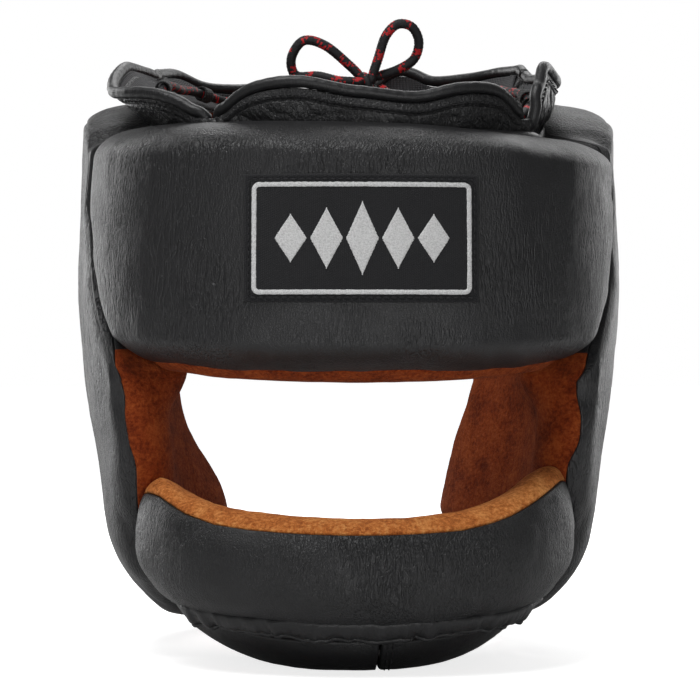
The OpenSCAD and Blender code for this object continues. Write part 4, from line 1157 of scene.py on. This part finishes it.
for key in FLAPS:
    nu, nv = ((240, 56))
    u, v = np.linspace(0, 1, nu + 1)[:, None], np.linspace(0, 1, nv + 1)[None, :]
    p = flap_surface(key, u, v * rim_keep(key, u), 0)
    along = arc(p[:, :1], 0) * np.ones((1, nv + 1))
    rise = arc(p, 1)
    below_rim = rise[:, -1:] - rise
    ends = np.minimum(along, along[-1:] - along)
    gathered = 0.35 + 0.65 * np.exp(-ends / 26)
    loose = ease((below_rim - RIM_WELT + 0.6) / 1.6)
    move = 0.2 * fractal(p / 9, 3, 63) + 0.8 * (0.75 + wrinkles(along, rise, 64)) * gathered * loose
    move = move + 0.3 * pull_marks(along, rise, rise, 3.2, 5, 67)
    move = move - 0.75 * np.exp(-((below_rim - RIM_WELT) / 0.55) ** 2) + 0.35 * ease((RIM_WELT - below_rim) / 1.2)
    p = p - grid_normals(p) * (move * ease(rise / 3))[..., None]
    slab(f"crown_leather_{key}", p, LEATHER_T, BODY, (f"crown_{key}",), leather_crown, 0.5, True)
    p = flap_surface(key, u, v * rim_keep(key, u), LEATHER_T + GAP + FABRIC_T)
    fabric = slab(f"crown_fabric_{key}", p, FABRIC_T, BODY, (f"crown_lining_{key}",), ribbed, 0.3)
    flat = (float(arc(p, 0)[-1].max()) * 0.001, float(arc(p, 1)[:, -1].max()) * 0.001)

    inside = (LEATHER_T + GAP + FABRIC_T) / 2
    uu = np.linspace(0, 1, 90)
    tall = flap_tall(key, uu)
    over = rim_keep(key, uu) + PIPING_OUT / tall
    a0, a1 = FLAPS[key][0]
    path = flap_surface(key, uu, over, inside)
    for at, (_, kind) in zip((0, 1), ENDS[key]):
        step = -1 if at == 0 else 1
        if kind == "meet":
            own = flap_surface(key, float(at), over[-at], inside)
            theirs = flap_surface(MEETS[key], 1.0 - at, 1 + PIPING_OUT / flap_tall(MEETS[key], 1.0 - at), inside)
            more = mix(own, theirs, np.array([0.17, 0.34, 0.5])[:, None])
        elif kind == "dip":
            more = flap_surface(key, at + step * np.array([1.0, 1.9, 2.6]) / (a1 - a0),
                                over[-at] - np.array([0.12, 0.34, 0.6]) * 8 / tall[-at],
                                inside + np.array([0.6, 1.8, 3.2]))
        else:
            more = flap_surface(key, at + step * np.array([1.5, 1.7, 1.7, 1.7]) / (a1 - a0),
                                np.array([0.93, 0.7, 0.4, 0.12]), inside)
        path = np.concatenate([more[::-1], path] if at == 0 else [path, more])
    path = resample(curve(path, np.linspace(0, 1, 500)), 1.0)
    wobble = 1 + 0.05 * fractal(path / 8, 2, 66)
    rolled(f"crown_piping_{key}", path, PIPING_D / 2 * wobble, (f"piping_{key}",), shape=piping_ridges)

    uu = np.linspace(0.02, 0.98, 200)
    level = rim_keep(key, uu) - (RIM_WELT - 1.5) / flap_tall(key, uu)
    path = flap_surface(key, uu, level, -0.25)
    stitches(f"crown_seam_{key}", path, path - flap_surface(key, uu, level, 4), BODY, 2.0, 1.0, 0.28)

# A fold of leather joins each flap to the next: the share of the height that it reaches on either side
OVER_ENDS = 2.6
for a, b, high_a, high_b in (("l", "front", 0.8, 0.8), ("front", "r", 0.84, 0.42), ("r", "back_r", 1.0, 1.0),
                             ("back_r", "back_l", 0.66, 0.66), ("back_l", "l", 1.0, 1.0)):
    nu, nv = ((80, 44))
    (a0, a1), (b0, b1) = FLAPS[a][0], FLAPS[b][0]
    wide_gap = (b0 - a1) % 360
    f = np.linspace(-OVER_ENDS, wide_gap + OVER_ENDS, nu + 1)[:, None]
    v = np.linspace(0, 1, nv + 1)[None, :]
    pa = flap_surface(a, 1 + f / (a1 - a0), v * high_a, 0)
    pb = flap_surface(b, (f - wide_gap) / (b1 - b0), v * high_b, 0)
    p = mix(pa, pb, ease(f / wide_gap)[..., None])
    rise = arc(p, 1)
    bury = np.minimum(f + OVER_ENDS, wide_gap + OVER_ENDS - f)
    folds = 1 + wrinkles(arc(p, 0), rise, 90 + len(a), 5.0)
    move = 0.35 - 0.9 * (1 - ease(bury / 2.2)) + 0.8 * folds * ease(bury / 3) * ease(rise / 2)
    move = move - 0.8 * ease((rise - rise[:, -1:] + 1.2) / 1.2)
    p = p - grid_normals(p) * move[..., None]
    slab(f"crown_fold_{a}_{b}", p, 1.4, BODY, (), leather_crown, 0.5, True)

# The seam between crown and pads is covered by a leather welt all the way round
th = np.linspace(-179.6, 179.6, 400)
path = resample(shell(th, seam_z(th) - 0.2 - 0.9 * ease((50 - np.abs(th)) / 6), crown_base(th) - 6.4), 1.2)
rolled("crown_welt", path, 2.3 * (1 + 0.06 * noise(path / 5, 68)), (), 14)

# The lace ring and its keepers lie inside the crown
LACE_IN = 4.3


def crown_inside(th):
    """Where the lace runs at an angle: inside the flap that stands there, half way up it."""
    for key, ((a0, a1), heights, outs) in FLAPS.items():
        if a0 - 6 <= th <= a1 + 6:
            uu = min(1, max(0, (th - a0) / (a1 - a0)))
            slope = float(curve(outs, uu)) / float(curve(heights, uu))
            return flap_surface(key, uu, 0.5, LEATHER_T + GAP + FABRIC_T + LACE_IN * math.hypot(1, slope), 0)
    return None


RING_AT = [14, 22, 30, 38, 46, 56, 66, 76, 86, 96, 106, 114, 124, 134, 144, 154, 164, 172,
           -176, -168, -158, -148, -138, -128, -118, -108, -98, -88, -78, -68, -58, -48, -40, -32, -22, -12]
ring = [(11.2, -59.5, 238)] + [tuple(crown_inside(a)) for a in RING_AT] + [(-1.2, -59.5, 238)]
braided("lace_round", resample(curve(ring, np.linspace(0, 1, 900)), 0.7), LACE_D, ("lace_ring",), 16)
KEEPER_AT = [22, 66, 86, 124, 154, -158, -128, -88, -58, -22]
# A keeper's section, as pairs of its radius and the place along the lace
KEEPER_PROFILE = [(2.62, -2.7), (2.55, -1), (2.55, 1), (2.62, 2.7), (2.85, 3.0), (3.3, 2.95), (3.42, 2.5), (3.36, 1.8),
                  (3.42, 0), (3.36, -1.8), (3.42, -2.5), (3.3, -2.95), (2.85, -3.0)]
turn = np.radians(np.linspace(0, 360, 28, endpoint=False))
one = ring_faces(len(KEEPER_PROFILE), len(turn), True)
points, faces = [], []
for at in KEEPER_AT:
    a = np.array(crown_inside(at))
    go = unit(np.array(crown_inside(at + 2)) - np.array(crown_inside(at - 2)))
    up = unit(np.array([0, 0, 1.0]) - go[2] * go)
    flank = np.cross(go, up)
    faces.append(one + len(points))
    for r, h in KEEPER_PROFILE:
        points += [a + go * h + r * (math.cos(w) * up + math.sin(w) * flank) for w in turn]
new_object("lace_loops_sewn", points, np.concatenate(faces), BODY, ("lace_keepers",), webbing)

# ---------------------------------------------------------------- chin cup

CUP_ROOT = [(67.5, BAR_Z + 9), (70, BAR_Z + 2), (76, JAW_Z + 0.2), (86, JAW_Z - 0.6), (98, JAW_Z)]
CUP_FRONT = -(BAR_FRONT - 25) - MID_Y
CUP_MID = [(CUP_FRONT, LIP_H), (CUP_FRONT + 3, 6), (CUP_FRONT + 10, 1), (CUP_FRONT + 22, -0.6),
           (CUP_FRONT + 36, -0.6), (CUP_FRONT + CUP_D, 3)]


def cup_skin(w, q):
    """The cup's outer skin: w runs across from root to root, -1 to 1, and q from the lip to the rear."""
    w, q = np.broadcast_arrays(np.asarray(w, float), np.asarray(q, float))
    r = curve(CUP_ROOT, q)
    depth = side_thick(r[..., 0], r[..., 1]) / 2
    z = r[..., 1] - GAP - CHIN_T * 0.45
    p = two_sided(w > 0, r[..., 0], z, depth)
    m = curve(CUP_MID, q)
    a = np.abs(w)
    return np.stack([p[..., 0] * w, mix(m[..., 0], p[..., 1], a ** 2.2), mix(m[..., 1], p[..., 2], a ** 3.2)], -1)


def cup_surface(w, q, inside):
    """A surface so far inside the cup's outer skin, held above the floor."""
    w, q = np.broadcast_arrays(np.asarray(w, float), np.asarray(q, float))
    e = 0.01
    a = cup_skin(w, np.minimum(1, q + e)) - cup_skin(w, np.maximum(0, q - e))
    b = cup_skin(w + e, q) - cup_skin(w - e, q)
    n = unit(np.cross(b, a))
    s = cup_skin(w, q) + np.asarray(inside)[..., None] * n
    s[..., 2] = np.maximum(s[..., 2], inside)
    return s


FIT = GAP + 0.25
CHIN_STEP = CHIN_T + 2 * PATCH_T + 3 * FIT
ROOT_HALF_W = float(shell(80, JAW_Z, side_thick(np.array(80.0), np.array(float(JAW_Z))) / 2)[0])
FLAP_W = FLAP_END_X / ROOT_HALF_W
INNER_W = (FLAP_END_X + CHIN_LAP) / ROOT_HALF_W
HINGE_W = 0.86


def chin_piece(name, w0, w1, step, body, nodes, n):
    """A chin piece between two skins, with rounded edges and shallow creases."""
    m = 44
    w = np.linspace(w0, w1, n + 1)[:, None]
    q = crowd(m, 0.6)[None, :]
    lift = step * ease((w - FLAP_W + 0.014) / 0.024)
    base = cup_surface(w, q, lift * np.ones_like(q))
    top = cup_surface(w, q, (lift + CHIN_T) * np.ones_like(q))
    n_out = unit(base - top)
    near = to_edge(base)
    drop = CHIN_T / 2 * (1 - roll(near, 1.8))
    soft = (0.35 * fractal(base / 16, 2, 71) + 0.12 * fractal(base / 5, 2, 72)) * ease(near / 5)
    outer = base - n_out * drop[..., None] + n_out * np.minimum(soft, 0.35)[..., None] * 0.6
    inner = top + n_out * drop[..., None]
    outer[..., 2] = np.maximum(outer[..., 2], 0.0)
    inner[..., 2] = np.maximum(inner[..., 2], 0.02)
    new_object(name, np.concatenate([outer, inner]), closed_faces(n + 1, m + 1), body, nodes, leather_trim)


chin_piece("chin_inner_leather", -0.985, INNER_W, CHIN_STEP, BODY, ("chin_inner",), 160)
chin_piece("chin_flap_leather", FLAP_W, HINGE_W, 0, FLAP, ("chin_flap",), 110)
chin_piece("chin_root_leather", HINGE_W + 0.008, 0.985, 0, BODY, ("chin_root_r",), 24)


for tag, w0, w1, body in (("l", -0.94, FLAP_W - 0.028, BODY), ("r", FLAP_W + 0.008, HINGE_W - 0.01, FLAP)):
    w = np.linspace(w0, w1, 61)
    ahead = unit(cup_skin(w, 0) - cup_skin(w, 0.04))
    path = resample(cup_surface(w, 0, CHIN_T / 2) + ahead * (BINDING_D / 2 + GAP), 0.8)
    rolled(f"chin_edge_{tag}", path, BINDING_D / 2, (f"chin_binding_{tag}",), 18, body)

for tag, w0 in (("a", FLAP_W + 0.035), ("b", FLAP_W + 0.062)):
    q = np.linspace(0.03, 0.97, 120)
    path = cup_surface(w0, q, -0.05)
    path[:, 2] = np.maximum(path[:, 2], 0.8)
    stitches(f"chin_seam_{tag}", path, path - cup_surface(w0, q, 3.0), FLAP, 2.6, 1.3, 0.32)


def cup_patch(inside):
    """A patch of tape so far inside the cup's outer skin."""
    w = mix(FLAP_W + 0.09, INNER_W - 0.05, np.linspace(0, 1, 31))[:, None]
    q = mix(0.42, 0.82, np.linspace(0, 1, 21))[None, :]
    return cup_surface(w, q, inside * np.ones((31, 21)))


slab("chin_hooks", cup_patch(CHIN_T + FIT), PATCH_T, FLAP, ("chin_hook_patch",), hook_cloth, 0.3)
slab("chin_loops", cup_patch(CHIN_T + 2 * FIT + PATCH_T), PATCH_T, BODY, ("chin_loop_patch",), loop_cloth, 0.3)

# ---------------------------------------------------------------- nape

WING_Z = 6
WING_TOP = BAR_TOP - 14
STRAP_Z = (WING_Z + WING_TOP) / 2
for side, tag in ((-1, "l"), (1, "r")):
    a = np.linspace(142, 157.6, 20)
    path = shell(a, 3.0, side_thick(a, np.full_like(a, WING_Z)) - 2.5, LEAN_R if side > 0 else LEAN_L)
    rolled(f"wing_edge_{tag}", mirrored(path, side), 3.15, (f"wing_binding_{tag}",), 24)

STRAP_ROOT, STRAP_TIP = 158.2, 222


def strap_at(a, z, inside):
    """A point of the nape strap: degrees round the head from the left wing, and how far in from its outside."""
    a, z = np.broadcast_arrays(np.asarray(a, float), np.asarray(z, float))
    depth = mix(WING_T - 1, -4 * GAP - 2 * PATCH_T, ease((a - 162) / 40)) - STRAP_T + inside
    return two_sided(a > 180, np.where(a < 180, -a, 360 - a), z, depth)


def strap_sheet(name, a0, a1, width, inside, thick, body, nodes, material, ribs=0):
    """The strap, or a patch of tape on it."""
    nu, nv = ((220, 44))
    a = np.linspace(a0, a1, nu + 1)[:, None]
    z = np.linspace(-0.5, 0.5, nv + 1)[None, :] * width
    along = arc(strap_at(a, STRAP_Z + 0 * z, inside), 0)
    weave = ribs * np.abs(np.sin(along / 1.25)) + ribs * np.cos(z / width * 2 * math.pi * 9)
    hem = 0.35 * np.exp(-((width / 2 - np.abs(z) - 2.4) / 0.5) ** 2) if ribs else 0
    p = strap_at(a, STRAP_Z + z, inside - weave + hem)
    slab(name, p, thick, body, nodes, material, 0.7 if thick > 1 else 0.3)


strap_sheet("nape_webbing", STRAP_ROOT, STRAP_TIP, STRAP_W, 0, STRAP_T, STRAP, ("nape_strap",), webbing,
            0.07)
strap_sheet("nape_hooks", 206, 220, STRAP_W - 6, STRAP_T + GAP, PATCH_T, STRAP, ("nape_hook_patch",),
            hook_cloth)
strap_sheet("nape_loops", 206, 220, STRAP_W - 4, STRAP_T + 2 * GAP + PATCH_T, PATCH_T, BODY,
            ("nape_loop_patch",), loop_cloth)
for f, tag in ((-0.42, "low"), (0.42, "high")):
    a = np.linspace(STRAP_ROOT + 0.6, STRAP_TIP - 0.6, 160)
    path = strap_at(a, STRAP_Z + f * STRAP_W, -0.05)
    outward = strap_at(a, STRAP_Z + f * STRAP_W, -4) - path
    stitches(f"nape_seam_{tag}", path, outward, STRAP, 2.4, 1.2, 0.3)

# ---------------------------------------------------------------- studio

FLOOR_GLOW, FLOOR_TONE, FLOOR_HALF = 0.78, 0.78, 9.0
corners = [(x * FLOOR_HALF, y * FLOOR_HALF, 0) for x, y in ((-1, -1), (1, -1), (1, 1), (-1, 1))]
floor_mesh = bpy.data.meshes.new("floor")
floor_mesh.from_pydata(corners, [], [(0, 1, 2, 3)])
floor = add("floor", floor_mesh)
# The camera sees a near white glow, and under the object also the light that falls there; all else sees grey paper
s = Shader("floor_paper")
floor_mesh.materials.append(s.finish(color=(FLOOR_TONE, FLOOR_TONE, FLOOR_TONE, 1), rough=0.9, spec=0.1))
away_from_middle = s.node("ShaderNodeVectorMath", {0: s.place((1.0, 1.0, 0.0))}, operation="LENGTH").outputs["Value"]
glow_level = s.span(away_from_middle, 0.16, 0.42, FLOOR_GLOW, 1.0)
glow = s.node("ShaderNodeEmission", {"Color": (1, 1, 1, 1), "Strength": glow_level})
lit = s.node("ShaderNodeAddShader", {0: glow.outputs[0], 1: s.bsdf.outputs[0]})
rays = s.node("ShaderNodeLightPath")
either = s.node("ShaderNodeMixShader", {0: rays.outputs["Is Camera Ray"], 1: s.bsdf.outputs[0], 2: lit.outputs[0]})
s.tree.links.new(either.outputs[0], s.tree.nodes["Material Output"].inputs["Surface"])

# The backdrop is white to the camera, a soft glow in what is glossy, and gives little light of its own
BACKDROP_IN_GLOSS, BACKDROP_LIGHT = 0.16, 0.07
world = bpy.data.worlds.new("studio")
scene.world = world
world.use_nodes = True
w = Nodes(world.node_tree)
background = w.tree.nodes["Background"]
rays = w.node("ShaderNodeLightPath").outputs
in_gloss = w.math("MULTIPLY", rays["Is Glossy Ray"], BACKDROP_IN_GLOSS)
seen = w.math("MAXIMUM", rays["Is Camera Ray"], rays["Is Transmission Ray"])
w.put(background.inputs["Strength"], w.math("MAXIMUM", w.math("MAXIMUM", seen, in_gloss), BACKDROP_LIGHT))
background.inputs["Color"].default_value = (1, 1, 1, 1)


def softbox(name, place, aim, size, power):
    """A rectangular light that faces a point."""
    data = bpy.data.lights.new(name, "AREA")
    data.shape = "RECTANGLE"
    data.size, data.size_y = size
    data.energy = power
    lamp = add(name, data)
    lamp.location = place
    lamp.rotation_euler = (Vector(aim) - Vector(place)).to_track_quat("-Z", "Y").to_euler()


softbox("key", (-0.40, -0.55, 1.45), (0, 0, 0.16), (0.7, 0.7), 13)
softbox("left_side", (-0.80, 1.00, 0.40), (0, 0, 0.15), (0.5, 1.0), 6)
softbox("right_side", (0.80, 1.00, 0.45), (0, 0, 0.15), (0.5, 1.0), 4.5)
softbox("front_low", (0.1, -1.5, 0.12), (0, 0, 0.10), (0.9, 0.4), 5)
softbox("rear_top", (0.2, 0.9, 1.1), (0, 0, 0.2), (0.9, 0.5), 5)

scene.view_settings.view_transform = "Standard"
